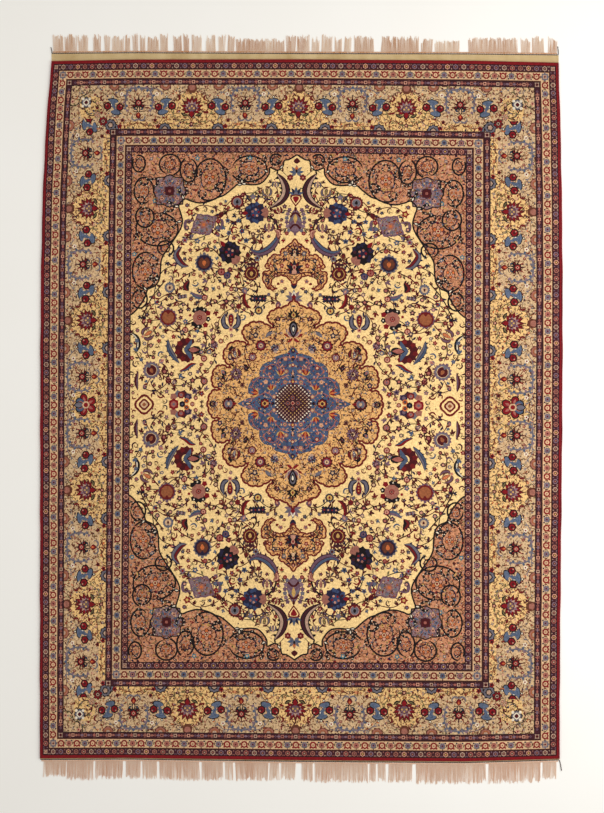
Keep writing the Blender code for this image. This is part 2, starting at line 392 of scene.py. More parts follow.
def crescent(spot, knob, other, band, drop):
    # a ring of knobs with a gap, and a drop that hangs out of it
    turns = np.radians(np.arange(60, 301, 30))
    spot.line(np.column_stack([np.sin(turns), np.cos(turns)]) * 0.3, 0.24, knob, 0.1, 0.1, 0)
    knobs(spot, range(58, 305, 27), 0.4, 0.13, (knob, other))
    spot.line(((-0.42, 0.2), (-0.2, 0.12), (0, -0.04), (0.2, 0.12), (0.42, 0.2)), 0.16, band, 0.2, 0.2, 3)
    spot.at(0, 0.02).paint(roundPetal(0.32, 0.56), "black")
    spot.at(0, 0.07).paint(petalShape(0.22, 0.46), drop)


def pomegranate(spot, rim, ring, halo, face, heart):
    # a round flower with a crown, and curls beside it
    for way in (-1, 1):
        spot.line(((0, 1.0), (way * 0.5, 1.3), (way * 0.8, 1.2), (way * 0.7, 1.0)), 0.14, ring, 0.1, 0.5, 3)
    knobs(spot, (-17, 17, 0), 1.14, 0.24, rim)
    roundFlower(spot, rim, ring, halo, face, heart)


def bud(spot, petal, cap, heart=None):
    spot.paint(petalShape(0.62, 0.8), petal)
    for side in (-1, 1):
        spot.at(0, 0, turn=side * 24).paint(leafShape(0.22, 0.55, side * 0.1, 3), cap)
    if heart:
        spot.at(0, 0.2).paint(petalShape(0.24, 0.42), heart)


def fan(spot, count, spread, reach, width, used, sideReach=0.72, side=pointedSide):
    order = sorted(range(count), key=lambda i: -abs(2 * i - count + 1))
    for i in order:
        share = 2.0 * i / (count - 1) - 1.0
        length = reach * (1.0 - (1.0 - sideReach) * share**2)
        petal = petalShape(width, length, side)
        spot.at(0, 0, turn=share * spread / 2.0).paint(petal, inTurn(used, abs(2 * i - count + 1) // 2))


def palmette(spot, edge, outer, inner, body, heart, tips=11, spread=250):
    # jagged petals over a skirt of the body's colour
    root = spot.at(0, -0.08)
    skirt = root.at(0, 0.04, turn=180)
    fan(skirt, 5, 110, 0.46, 0.26, (edge, body), 0.8)
    fan(root, tips, spread, 0.6, 0.24, edge, 0.8)
    fan(root, tips, spread, 0.5, 0.15, (outer, inner), 0.8)
    rings(root, 0.3, 7, 0.2, edge)
    skirt.paint(roundPetal(0.3, 0.34), body)
    root.at(0, -0.06).paint(roundPetal(0.24, 0.32), body)
    root.paint(petalShape(0.12, 0.22), heart)


def lotus(spot, edge, petal, other, body, heart):
    # an upright oval with knobs down its sides and chevrons on it
    for way in (-1, 1):
        for i in range(6):
            x, y = way * (0.2 + 0.14 * math.sin(math.pi * (i + 0.5) / 6.0)), -0.42 + 0.16 * i
            spot.at(x, y, 0.1).paint(lobed(5, 0.3, steps=2), (edge, petal, other)[i % 3])
    spot.at(0, -0.5).paint(roundPetal(0.52, 1.0), edge)
    spot.at(0, -0.44).paint(roundPetal(0.42, 0.88), petal)
    for y, dye in ((-0.3, body), (-0.14, other), (0.02, edge), (0.16, body)):
        chevron = ((-0.2, y + 0.16), (-0.08, y + 0.02), (0, y), (0.08, y + 0.02), (0.2, y + 0.16))
        spot.line(chevron, 0.08, dye, steps=0)
    spot.at(0, -0.26).paint(petalShape(0.16, 0.4), heart)
    spot.at(0, 0.44, 0.14).paint(petalShape(0.9, 1.2), edge)


def tulip(spot, edge, petal, heart, seed):
    # two round shoulders beside a long heart
    for way in (-1, 1):
        side = ((way * 0.06, -0.46), (way * 0.36, -0.34), (way * 0.46, 0.0), (way * 0.34, 0.44))
        spot.line(side, 0.3, edge, 0.2, 0.3)
        spot.line(side, 0.15, petal, 0.3, 0.4)
    spot.at(0, -0.46).paint(roundPetal(0.44, 0.9), "cream")
    spot.at(0, -0.42).paint(roundPetal(0.34, 0.8), edge)
    spot.at(0, -0.38).paint(roundPetal(0.26, 0.7), heart)
    for y in (-0.2, -0.02, 0.14):
        spot.at(0, y, 0.05).paint(disc(1.0, 4), seed)
    rings(spot.at(0, -0.54, 0.16), 1.0, 5, 0.3, "pink", 0.4, 3, 0.1, heart)


def jagged(spot, edge, inner, heart):
    # a long flat leaf with lobes on both its sides
    spot.at(0, -0.5).paint(leafShape(0.26, 1.0, 0.0, 4), edge)
    for i in range(6):
        for way in (-1, 1):
            spot.at(way * 0.11, -0.36 + 0.14 * i, 0.1).paint(lobed(4, 0.3, steps=2), (edge, inner)[i % 2])
    for i in range(4):
        spot.at(0, -0.3 + 0.2 * i, 0.05).paint(disc(1.0, 5), (heart, "pink")[i % 2])


def cloudBlock(spot, edge, ground, curl):
    # a broad mottled cloud, hooked at two of its corners
    turns = np.arange(32) * math.pi / 16.0
    reach = 1.0 + 0.12 * np.cos(turns * 4.0) + 0.07 * np.cos(turns * 8.0)
    outline = np.column_stack([np.sin(turns), np.cos(turns) * 0.8]) * reach[:, None]
    for way in (-1, 1):
        hook = np.array(((0.24, 0.3), (0.54, 0.46), (0.7, 0.2), (0.52, 0.12))) * way
        spot.line(hook, 0.13, edge, 0.2, 0.5, 3)
    spot.paint(outline * 0.5, edge)
    spot.paint(outline * 0.43, ground)
    for turn in (45, 135, 225, 315):
        spot.at(0, 0, turn=turn).at(0, 0.26, 0.09).paint(lobed(5, 0.3, steps=2), curl)
    rings(spot, 0.15, 6, 0.2, "clay", 0.07, 4, 0.2, "orange")


def sickle(spot, points, width, edge, belly, back, teeth=5):
    # a long curved leaf in two colours, toothed on its outer side
    path = smooth(points, 6)
    share = np.linspace(0.0, 1.0, len(path))
    half = width / 2.0 * np.sin(math.pi * share) ** 0.75
    wide, narrow = bothSides(path, half + 0.012 * width)
    for i in range(teeth):
        at = int((0.16 + 0.66 * i / max(teeth - 1, 1)) * (len(path) - 1))
        out = wide[at] - path[at]
        lean = math.degrees(math.atan2(out[0], out[1])) - 24
        spot.at(*path[at], turn=lean).paint(petalShape(0.34 * width, 0.4 * width + half[at]), edge)
    spot.drawing.dip()
    spot.drawing.add(spot.place(np.vstack([wide, narrow[::-1]])), edge)
    for dye, low, high in ((belly, 0.1, 0.78), (back, -0.78, -0.1)):
        first, _ = bothSides(path, half * low)
        second, _ = bothSides(path, half * high)
        inner = np.vstack([first[1:-1], second[1:-1][::-1]])
        spot.drawing.dip()
        spot.drawing.add(spot.place(inner), dye)


def splitLeaf(spot, dark, light, size=1.0):
    # two arms that part from one root, each with pale beads inside
    for way in (-1, 1):
        arm = np.array(((0, 0), (way * 0.5, 0.5), (way * 0.6, 1.1), (way * 0.15, 1.45))) * size
        spot.line(arm, 0.4 * size, dark, 0.2, 0.5, 3)
        for i, (x, y) in enumerate(arm[:3] * 0.96):
            spot.at(x, y, (0.1, 0.13, 0.09)[i] * size).paint(disc(1.0, 5), (light, "dust", light)[i])


def vine(spot, points, dye, width=0.36, leaves=0, leafSize=1.5, leafDyes="wine/olive"):
    path = smooth(points, 4)
    spot.line(path, width, dye, 0.0, 0.1, steps=0)
    for i in range(leaves):
        at = int((i + 0.6) / leaves * (len(path) - 2))
        way = path[at + 1] - path[at]
        lean = math.degrees(math.atan2(way[0], way[1])) + (48 if i % 2 else -48)
        leafAt = spot.at(*path[at], size=leafSize, turn=lean)
        leafAt.paint(leafShape(0.4, 1.0, 0.1, 2), inTurn(leafDyes, i))


def vines(spot, table, leafSize, leafDyes, swell=1.0):
    for dye, width, leaves, *points in rowsOf(table):
        vine(spot, pairsOf(points), dye, width * swell, leaves, leafSize, leafDyes)


def scroll(spot, across, along, dye, width=0.4, start=0.0, sweep=330.0):
    # one open ring of vine that winds inwards
    turns = np.radians(start + np.linspace(0.0, sweep, 26))
    inward = (1.0 - 0.14 * np.linspace(0.0, 1.0, 26))[:, None]
    path = np.column_stack([np.sin(turns) * across, np.cos(turns) * along]) * inward
    spot.line(path, width, dye, 0.0, 0.12, steps=0)
    return path


def scatter(spot, outline, tries, gap, sizes, draw, seed):
    # small things strewn over what is still free inside an outline
    rng = random.Random(seed)
    low, high = outline.min(axis=0), outline.max(axis=0)
    points = [(rng.uniform(low[0], high[0]), rng.uniform(low[1], high[1])) for _ in range(tries)]
    for inside, point in zip(insideOf(outline, points), points):
        size = rng.uniform(*sizes)
        kind, turn = rng.random(), rng.uniform(0.0, 360.0)
        if inside and spot.drawing.isFree(*point, size * gap):
            place = spot.at(*point, size=size, turn=turn)
            draw(place, kind)
            place.hold(gap)


motifs = {
    "flower": flower, "rings": rings, "rosette": rosette, "roundFlower": roundFlower, "pansy": pansy,
    "cluster": cluster, "crescent": crescent, "pomegranate": pomegranate, "bud": bud, "fan": fan,
    "palmette": palmette, "lotus": lotus, "tulip": tulip, "jagged": jagged, "cloud": cloudBlock,
    "hold": lambda spot: spot.hold(1.0),
}


# The stripes and borders inside the red edge, by their distance in from the drawn edge, in cm
bands = {
    "outerDark": (1.6, 4.9),
    "outerCream": (4.9, 9.8),
    "nearDark": (9.8, 13.0),
    "mainBorder": (13.0, 35.4),
    "innerDark": (35.4, 38.8),
    "innerCream": (38.8, 44.0),
    "fieldDark": (44.0, 47.6),
}
arms = {"end": (halfLength, halfWidth), "side": (halfWidth, halfLength)}


def armSpot(drawing, arm, along, inset):
    # a place in a band: its right runs from the carpet's centre line towards the corner
    if arm == "end":
        return Spot(drawing, (along, halfLength - inset), (1.0, 0.0), (0.0, 1.0))
    return Spot(drawing, (halfWidth - inset, along), (0.0, 1.0), (1.0, 0.0))


def bandOutline(outer, inner):
    x, y = halfWidth - outer, halfLength - outer
    xIn, yIn = halfWidth - inner, halfLength - inner
    return np.array([(0, y), (0, yIn), (xIn, yIn), (xIn, 0), (x, 0), (x, y)], float)


def paintBand(drawing, outer, inner, dye):
    Spot(drawing).paint(bandOutline(outer, inner), dye)


def alongArms(drawing, inset, pitch, unit, corner=None):
    # whole repeats from each centre line to the corner
    for arm, (_, reach) in arms.items():
        length = reach - inset
        count = round(length / pitch)
        for i in range(count):
            unit(armSpot(drawing, arm, i * length / count, inset), i)
    if corner:
        middle = Spot(drawing, (halfWidth - inset, halfLength - inset))
        corner(middle.at(0, 0, turn=45.0))


def stripe(drawing, name, edge, ground, edgeWidth=0.34):
    # a ground between two thin lines, whose middle and width come back
    outer, inner = bands[name]
    paintBand(drawing, outer, inner, edge)
    paintBand(drawing, outer + edgeWidth, inner - edgeWidth, ground)
    return (outer + inner) / 2.0, inner - outer


def ticks(spot, pitch, width, used, size=0.9):
    # four small leaves between one flower and the next
    for way in (-1, 1):
        for side in (-1, 1):
            leaf = spot.at(pitch / 2.0 + side * 0.16, way * width * 0.16, size, turn=side * 24)
            leaf.paint(leafShape(0.5, way * 1.0, 0.0, 1), used)


def darkStripe(drawing, name, ground, cycle, pitch, size):
    # rosettes in a row on a dark stripe, in colours that take turns
    middle, width = stripe(drawing, name, "black", ground)

    def unit(spot, i):
        rim, petal, heart = inTurn(cycle, i)
        rings(spot, size, 6, 0.16, rim, size * 0.64, 5, 0.2, petal, size * 0.3, 3, 0.0, heart)
        ticks(spot, pitch, width, inTurn("dust/clay/mauve", i))

    def corner(spot):
        flower(spot.at(0, 0, width * 0.46), "dust", "wine", 4)
        flower(spot.at(0, 0, width * 0.24), "red", "cream", 4)

    alongArms(drawing, middle, pitch, unit, corner)


def creamStripe(drawing, name, ring, palmettes, pitch):
    # ring flowers and small palmettes in turn on a pale stripe between two thin lines
    middle, width = stripe(drawing, name, "brown", "cream", 0.4)

    def unit(spot, i):
        way = -1 if i % 2 else 1
        wave = ((-0.5, 0), (-0.25, -1.2), (0, -1.5), (0.25, -1.2), (0.5, 0))
        spot.line([(pitch * x, way * y) for x, y in wave], 0.26, "olive", steps=0)
        for side in (-1, 1):
            leaf = spot.at(side * 2.1, -1.1, 1.9, turn=-side * 14)
            leaf.paint(leafShape(0.3, 1.0, side * 0.2, 2), inTurn("wine/olive/brown", i + side))
            speck = spot.at(side * pitch * 0.34, way * 1.3, 0.5)
            speck.paint(disc(1.0, 5), inTurn("crimson/navy", i))
        if i % 2 == 0:
            rim, halo, heart = ring
            rings(spot, 1.8, 7, 0.1, rim, 1.05, 6, 0.1, halo, 0.42, 4, 0.1, heart)
        else:
            face, petal, heart = inTurn(palmettes, i // 2)
            spot.line(((0, -way * 2.3), (0, -way * 1.0)), 0.4, "wine", steps=0)
            rings(spot, 1.7, 7, 0.24, face, 1.0, 5, 0.2, petal, 0.45, 3, 0.0, heart)

    def corner(spot):
        spot.at(0, 0, width * 0.46).paint(starShape(8, 0.76), palmettes[0][0])
        flower(spot.at(0, 0, width * 0.3), "dust", "red", 4)

    alongArms(drawing, middle, pitch, unit, corner)


def leafStripe(drawing, name, ground, petals, heart, pitch):
    # pale square flowers with dim leaves between them
    middle, width = stripe(drawing, name, "black", ground)

    def unit(spot, i):
        for side in (-1, 1):
            leaf = spot.at(side * 0.8, 0, 2.0, turn=side * 90)
            leaf.paint(leafShape(0.56, 1.0, 0.0, 2), inTurn("rose/mauve/clay", i))
        rings(spot.at(0, 0, turn=45.0), 1.15, 4, 0.3, inTurn(petals, i), 0.5, 3, 0.0, heart)
        ticks(spot.at(-pitch / 4.0, 0), pitch, width, "clay", 0.8)
        rings(spot.at(pitch / 2.0, 0), 0.72, 4, 0.4, inTurn("rose/heather", i), 0.3, 2, 0.0, "plum")

    def corner(spot):
        spot.at(0, 0, width * 0.5).paint(starShape(4, 0.6), petals[0])
        spot.at(0, 0, width * 0.24).paint(disc(1.0, 7), heart)

    alongArms(drawing, middle, pitch, unit, corner)


# The main border, in cm: its middle line, and the pitch and order of the motifs from each centre line
border = {
    "middle": 24.2,
    "endPitch": 13.45,
    "sidePitch": 14.15,
    "endUnits": ["red", "cloud", "dark", "cloud"] * 2,
    "sideUnits": ["centre", "dark", "cloud"] + ["red", "cloud", "dark", "cloud"] * 2,
}


def redPalmette(spot):
    plant(spot, """across along size lean kind
        -1.6 -4.6 4.2 -66 leaf .4 1 -.1 black
        -2 -4.4 3.2 -66 leaf .2 1 -.1 olive
        1.6 -4.6 4.2 66 leaf .4 1 .1 black
        2 -4.4 3.2 66 leaf .2 1 .1 olive
        0 -1 1 0 fan 11 240 7 2.5 wine .68
        0 -1 1 0 fan 11 240 6.2 1.7 red/crimson .68
        0 -1 1 0 fan 9 210 4.4 1.8 dust/mauve .7
        0 -1 1 0 lobed 8 .2 2.6 wine
        0 -.7 1 0 lobed 6 .2 2 heather
        0 .3 1 0 disc .52 6 gold
        -1.1 -.7 1 0 disc .52 6 gold
        1.1 -.7 1 0 disc .52 6 gold
        0 -1.3 1 0 disc .52 6 olive
        0 -2.1 1 180 petal 3.4 4 black
        0 -2.1 1 180 petal 2.5 3.3 crimson
        0 -6.3 1.1 0 flower red gold
        0 -8.8 1.5 0 flower wine pink
        -.8 -8.8 2.6 -84 leaf .4 olive
        .8 -8.8 2.6 84 leaf .4 olive
        0 9.4 2.7 0 lobed 7 .22 brown
        0 9.9 1.7 0 lobed 5 .22 clay""")
    spot.hold(5.4, 0, 1.0).hold(2.0, 0, -7.4).hold(2.4, 0, 9.4).hold(1.8, -4, -4).hold(1.8, 4, -4)


def darkPalmette(spot):
    # the arch of lacy leaves over it comes first
    for way in (-1, 1):
        path = smooth(((way * 6.0, -3.4), (way * 6.9, 0.6), (way * 6.9, 5.4), (way * 4.8, 8.9), (0, 9.7)), 3)
        spot.line(path, 0.8, "slate", 0.3, 0.0, steps=0)
        for i, (x, y) in enumerate(path[1:]):
            knob = spot.at(x * (0.9, 1.1)[i % 2], y * (0.92, 1.06)[i % 2], (0.8, 0.75)[i % 2])
            knob.paint(lobed(4, 0.3, steps=2), inTurn("mauve/slate/steel", i))
            spot.hold(1.3, x, y)
        flower(spot.at(way * 4.5, 5.4, 1.0), "red", "pink")
        flower(spot.at(way * 9.2, 6.6, 1.3), "white", "crimson")
        spot.hold(1.3, way * 9.2, 6.6).hold(1.0, way * 4.5, 5.4)
    fan(spot.at(0, 1.0), 9, 250, 5.4, 0.9, "wine/crimson/brown", 0.8)
    for way in (-1, 1):
        for y, turn, dye in ((-2.8, 34, "steel"), (2.2, 128, "crimson")):
            side = spot.at(way * 0.3, y, turn=way * turn)
            side.paint(leafShape(1.7, 4.0, way * 0.7), "black")
            side.at(0, 1.4).paint(leafShape(0.5, 1.9, way * 0.4, 1), dye)
        spot.line(((way * 0.6, -2.2), (way * 2.5, -1.6), (way * 2.9, 0.0)), 0.5, "cream", 0.1, 0.5)
    plant(spot, """across along size lean kind
        0 2 1 0 rings 2.3 8 .2 black 1.6 6 .2 crimson .9 4 .2 pink .4 3 0 wine
        0 -3 1 0 round 1.9 3.4 black
        0 -2.6 1 0 petal .9 2.6 cream
        0 -2.8 1 180 petal 3 3.6 wine
        0 -2.8 1 180 petal 2.2 3 crimson
        0 -3.3 1 180 petal .9 1.6 orange""")
    for way in (-1, 1):
        hook = ((0, -6.2), (way * 1.9, -7.0), (way * 3.4, -5.6), (way * 2.6, -4.2))
        spot.line(hook, 0.8, "slate", 0.1, 0.6)
        spot.line(((way * 0.8, -7.9), (way * 2.6, -9.0), (way * 4.2, -8.0)), 0.7, "brown", 0.2, 0.5)
        circle = spot.at(way * 8.5, -6.9)
        scroll(circle, 2.6, 2.6, "cream", 0.4, 20.0 * way, 320.0)
        flower(circle.at(0, 0, 1.3), "red", "black")
        circle.hold(2.6)
    spot.hold(4.2, 0, 3.0).hold(3.4, 0, -2.4).hold(2.6, 0, -6.8)


# The thick S of each cloud, in cm about its middle
cloudLine = (
    (-3.1, 3.3), (-1.2, 4.0), (1.4, 3.5), (2.3, 2.2), (0.8, 1.6), (0.7, 0.4), (1.9, -0.9), (3.3, -2.6),
    (2.9, -4.0), (0.9, -4.0), (-1.1, -3.1), (-1.3, -2.1), (0.2, -1.6), (-0.5, -0.4), (-1.7, 0.6), (-1.6, 2.0),
    (-3.1, 3.3),
)


def cloudUnit(spot, mirrored):
    # a cloud with a blossom in each of its bends
    place = spot.at(0, 0.2, flip=mirrored)
    cloud = smooth(cloudLine, 3)
    place.paint(cloud * (1.16, 1.1), "black")
    place.paint(cloud, "sky")
    vein = ((-1.6, 3.0), (0.6, 2.6), (-0.5, 1.4), (0.2, 0.0), (1.6, -1.8), (2.0, -3.2))
    place.line(vein, 0.4, "steel", 0.1, 0.1, 3)
    for way, size in ((-1, 2.3), (1, 2.2)):
        place.at(way * 1.5, -way * 0.9, 0.6).paint(disc(1.0, 5), "pink" if way > 0 else "white")
        blossom = place.at(way * 3.4, -way * 0.3, size)
        rings(blossom, 1.0, 6, 0.1, "black", 0.74, 6, 0.14, "crimson", 0.36, 4, 0.2, "wine")
        blossom.at(0.3 * way, 0.3, 0.2).paint(disc(1.0, 4), "pink")
        stem = ((way * 5.2, way * 1.2), (way * 6.4, way * 2.6), (way * 7.0, way * 4.4))
        place.line(stem, 0.36, "brown", 0.0, 0.3, 2)
        rings(place.at(way * 0.7, -way * 4.9), 0.8, 4, 0.2, "black", 0.44, 3, 0.1, "white")
    # half motifs that grow from the border's two edges
    plant(spot, """across along size lean kind
        0 11.3 1 0 rings 3.3 9 .14 brown 2.7 8 .1 clay 1.9 7 .1 russet 1.2 5 .1 dust
        0 -11.3 1 0 rings 3.5 9 .18 black 2.9 8 .14 slate 1.9 6 .2 black 1.3 5 .2 dust""")
    flower(spot.at(-3.6 if mirrored else 3.6, -9.9, 1.5), "crimson", "black")
    spot.hold(3.4, 0, 11.3).hold(4.0, 0, -11.3).hold(3.6, -1.8, 0.4).hold(3.6, 1.8, 0.4)


def centreFlower(spot):
    for turn in (-72, 72, -26, 26, 150, -150):
        lobe = spot.at(0, 0, turn=turn)
        lobe.paint(roundPetal(4.2, 6.0), "black")
        lobe.paint(roundPetal(3.4, 5.4), "crimson" if abs(turn) > 30 else "steel")
        lobe.at(0, 1.6).paint(petalShape(1.4, 2.8), "rose")
    plant(spot, """across along size lean kind
        0 1 1 0 leaf 3.6 5.6 black
        0 1.4 1 0 leaf 2.6 4.6 slate
        0 0 1 0 lobed 6 .2 2 cream
        0 0 1 0 disc 1.2 8 crimson""")
    spot.hold(5.6)


def tinyBloom(colours):
    # one of several small plants, in one of the colours
    def draw(spot, kind):
        dye, other = inTurn(colours, int(kind * 997)), inTurn(colours, int(kind * 577))
        if kind < 0.34:
            spot.paint(lobed(4, 0.4, steps=2), dye)
            spot.paint(disc(0.4, 4), "cream" if dye not in ("cream", "dust", "gold", "white") else "red")
        elif kind < 0.7:
            spot.at(0, -1.0, 2.0).paint(leafShape(0.42, 1.0, 0.1, 2), dye)
            spot.at(0, -0.6, 1.3, turn=56).paint(leafShape(0.44, 1.0, 0.08, 1), other)
        elif kind < 0.86:
            spot.line(((-1.0, -0.5), (-0.2, 0.5), (0.7, 0.3), (0.8, -0.4)), 0.36, dye, 0.2, 0.4, 3)
        else:
            bud(spot.at(0, -0.8, 2.0), dye, other)
    return draw


def drawBorder():
    drawing = Drawing("dustGround")
    outer, inner = bands["mainBorder"]
    half = (inner - outer) / 2.0
    units = [
        (armSpot(drawing, arm, i * border[arm + "Pitch"], border["middle"]), unit, i, arm)
        for arm in arms
        for i, unit in enumerate(border[arm + "Units"] + ["corner"])
    ]
    for spot, unit, _, _ in units:
        # the warm ground on the inner side rises round each red palmette
        if unit in ("red", "centre"):
            slope = [(-20.0, -7.6), (-14.0, -4.6), (-9.4, 1.4), (-5.0, 6.6)]
            hump = smooth(slope + [(0, 8.2)] + [(-x, y) for x, y in slope[::-1]], 3)
            spot.paint(np.vstack([hump, [(20.0, -half), (-20.0, -half)]]), "goldGround")
        elif unit == "dark":
            spot.paint([(-9.0, -half), (9.0, -half), (9.0, -7.6), (-9.0, -7.6)], "goldGround")
    for spot, unit, _, arm in units:
        reach = border[arm + "Pitch"]
        for way in (-1, 1):
            if unit in ("red", "centre"):
                lower = ((way * 2.0, -6.4), (way * 6.0, -7.6), (way * 9.4, -3.6), (way * reach, 5.6))
                upper = ((way * 1.0, 8.0), (way * 5.4, 7.6), (way * 8.2, 3.6), (way * reach, -4.4))
                vine(spot, lower, "olive", 0.4, 6, 1.9, "olive/brown")
                vine(spot, upper, "brown", 0.36, 6, 1.8, "wine/olive")
            elif unit == "dark":
                lower = ((way * 2.4, -8.6), (way * 6.0, -9.8), (way * 10.6, -8.2), (way * reach, -3.6))
                upper = ((0, 10.0), (way * 5.0, 9.6), (way * 9.4, 9.2), (way * reach, 5.6))
                vine(spot, lower, "brown", 0.36, 5, 1.8, "russet/olive")
                vine(spot, upper, "slate", 0.36, 5, 1.8, "slate/wine")
    drawers = {"red": redPalmette, "dark": darkPalmette, "centre": centreFlower}
    for spot, unit, i, arm in units:
        if unit in drawers:
            drawers[unit](spot)
        elif unit == "cloud":
            cloudUnit(spot, (len(border[arm + "Units"]) - 1 - i) // 2 % 2 == 0)
            toward = -1 if border[arm + "Units"][i - 1] in ("red", "centre") else 1
            spot.at(toward * 5.4, -3.0, 2.8, turn=toward * 70).paint(leafShape(0.42, 1.0, 0.1), "red")
            crescent = spot.at(toward * 6.6, 4.4, flip=toward < 0)
            crescent.line(((-1.2, -1.4), (0.5, -0.6), (0.6, 0.9), (-0.9, 1.7)), 1.0, "red", 0.4, 0.4)
            crescent.hold(1.5)
    corner = Spot(drawing, (halfWidth - border["middle"], halfLength - border["middle"]))
    corner = corner.at(0, 0, turn=45.0)
    corner.paint(lobed(4, 0.3, 7.0), "goldGround")
    for way in (-1, 1):
        for wave in (((0, -6.0), (way * 3.4, -2.0), (way * 2.4, 3.0), (0, 5.4)),
                     ((0, 8.0), (way * 4.0, 6.4), (way * 7.0, 8.4), (way * 9.0, 12.4))):
            vine(corner, wave, "black", 0.5, 5, 2.0, "olive/wine")
    square = corner.at(0, 3.6, turn=45.0)
    for size, dye in ((3.1, "black"), (2.6, "slate"), (1.8, "white"), (1.1, "wine")):
        square.paint(lobed(4, 0.26, size, 3), dye)
    for turn in (45, 135, 225, 315):
        square.at(0, 0, turn=turn).at(0, 2.6, 0.8).paint(disc(1.0, 6), "white")
    rosette(corner.at(0, -10.2, 2.6), "black", "crimson", "red", "dust", "black", 7)
    rosette(corner.at(0, -5.4, 1.8), "brown", "dust", "pink", "cream", "red", 6)
    for way in (-1, 1):
        flower(corner.at(way * 5.0, 9.4, 1.3), "pink", "red")
        corner.hold(1.4, way * 5.0, 9.4)
    corner.hold(3.4, 0, 3.6).hold(2.6, 0, -10.2).hold(1.8, 0, -5.4)
    colours = "red/russet/olive/slate/brown/crimson/pink/wine/orange/navy"
    scatter(Spot(drawing), bandOutline(outer + 0.5, inner - 0.5), 9000, 1.06, (0.55, 1.0),
            tinyBloom(colours), "border filling")
    return drawing


def drawOuterGuards():
    drawing = Drawing("crimson")
    cycle = (("dust", "plum", "clay"), ("rose", "wine", "dust"), ("clay", "plum", "rose"),
             ("pink", "wine", "gold"), ("mauve", "plum", "clay"))
    darkStripe(drawing, "outerDark", "plum", cycle, 4.1, 1.36)
    creamStripe(drawing, "outerCream", ("crimson", "cream", "rose"),
                (("slate", "mauve", "wine"), ("clay", "rose", "wine")), 4.3)
    leafStripe(drawing, "nearDark", "plum", ("dust", "clay", "pink"), "wine", 6.7)
    return drawing


def drawInnerGuards():
    drawing = Drawing("plum")
    leafStripe(drawing, "innerDark", "plum", ("dust", "pink"), "wine", 6.5)
    creamStripe(drawing, "innerCream", ("red", "cream", "clay"),
                (("slate", "steel", "wine"), ("heather", "clay", "navy")), 4.2)
    cycle = (("clay", "wine", "pink"), ("rose", "plum", "dust"), ("mauve", "wine", "gold"),
             ("pink", "plum", "rose"))
    darkStripe(drawing, "fieldDark", "plum", cycle, 4.1, 1.44)
    return drawing


# The field, in cm from the carpet's centre: outlines of its parts, each from the long axis outwards,
# and a row for each lobe of the pendant and of the medallions
field = {
    "reach": (83.6, 127.35),
    "edgeLine": """across and along in turn
        0 126.3 3.8 123.9 6.3 123.3 7 120.4 9.2 118.4 11.5 118.9 13.6 119.6 14 116.2
        17.5 111.9 21.6 110.9 26.4 111.2 29.7 111.1 32.7 108.6 36.7 105.5 40.3 104.2 43.8 102.5
        48.9 101.6 53.4 102.6 56.6 103.6 59.5 100.4 58.5 96.4 57.6 92.3 58.6 88.2 62.4 82.1
        66.4 76.2 68.2 72.2 68.6 66.5 69.4 62.1 71.6 59.4 75 57.7 76.2 54.2 79.4 49.1
        81.8 46.4 83.6 45""",
    "pendant": """across and along in turn
        0 83.4 3.6 79.8 6.6 78
        6.6 78 7.4 76.6 7 75
        7 75 10.6 75.4 13.2 73 15 69.4 14.6 68.4
        14.6 68.4 12.4 67.4 15.8 66.4 16 62.2 13.6 58.2 10.8 57.2 8.6 58
        8.6 58 11 59 11.6 61.4 10.4 63.4 8.2 64.3 5.4 64.4 2.8 62.9 1 60.4 0 59.6""",
    "medallion": """across and along in turn
        0 53 2 50.8 4.6 49 8.4 48 11.8 46.4 13.6 43.4 12.4 41 9.6 37.8
        9.6 37.8 12.8 39.4 16.7 41.2 21.4 41 25 38.9 26.4 35.8 24.9 32.6 22.4 29.2
        22.4 29.2 25.4 31 29 31.6 33 30.2 35.6 26.6 35.9 23.4 34.4 20.6 31.8 17.9
        31.8 17.9 35.6 19.4 38.8 19.2 41 16.6 41.9 12.4 41 8.8 36.8 7.2
        36.8 7.2 41 7 43.2 4 44.1 0""",
    "heartMedallion": """across and along in turn
        0 28.4 1.8 26.4 2.2 25
        2.2 25 4.8 24.6 9 23.2 10.9 20.8
        10.9 20.8 14.4 20 16.8 17 16.9 13.4
        16.9 13.4 20.2 12 22.4 9.2 22.5 5.4 19.4 4.6 18.4 3.1
        18.4 3.1 22.8 2.4 28.2 0""",
}


def quarterOutline(name, steps=4, scallop=0.0):
    # a line through the lobes, with a small wave along it
    lobes = [pairsOf(row) for row in rowsOf(field[name])]
    runs = [smooth(lobe, steps)[:-1] for lobe in lobes]
    path = np.vstack(runs + [[lobes[-1][-1]]])
    wave = scallop * (np.arange(len(path)) % 4 == 2)
    wave[[0, -1]] = 0.0
    return bothSides(path, wave)[0]


def closed(path):
    return np.vstack([path, [(0.0, 0.0)]])


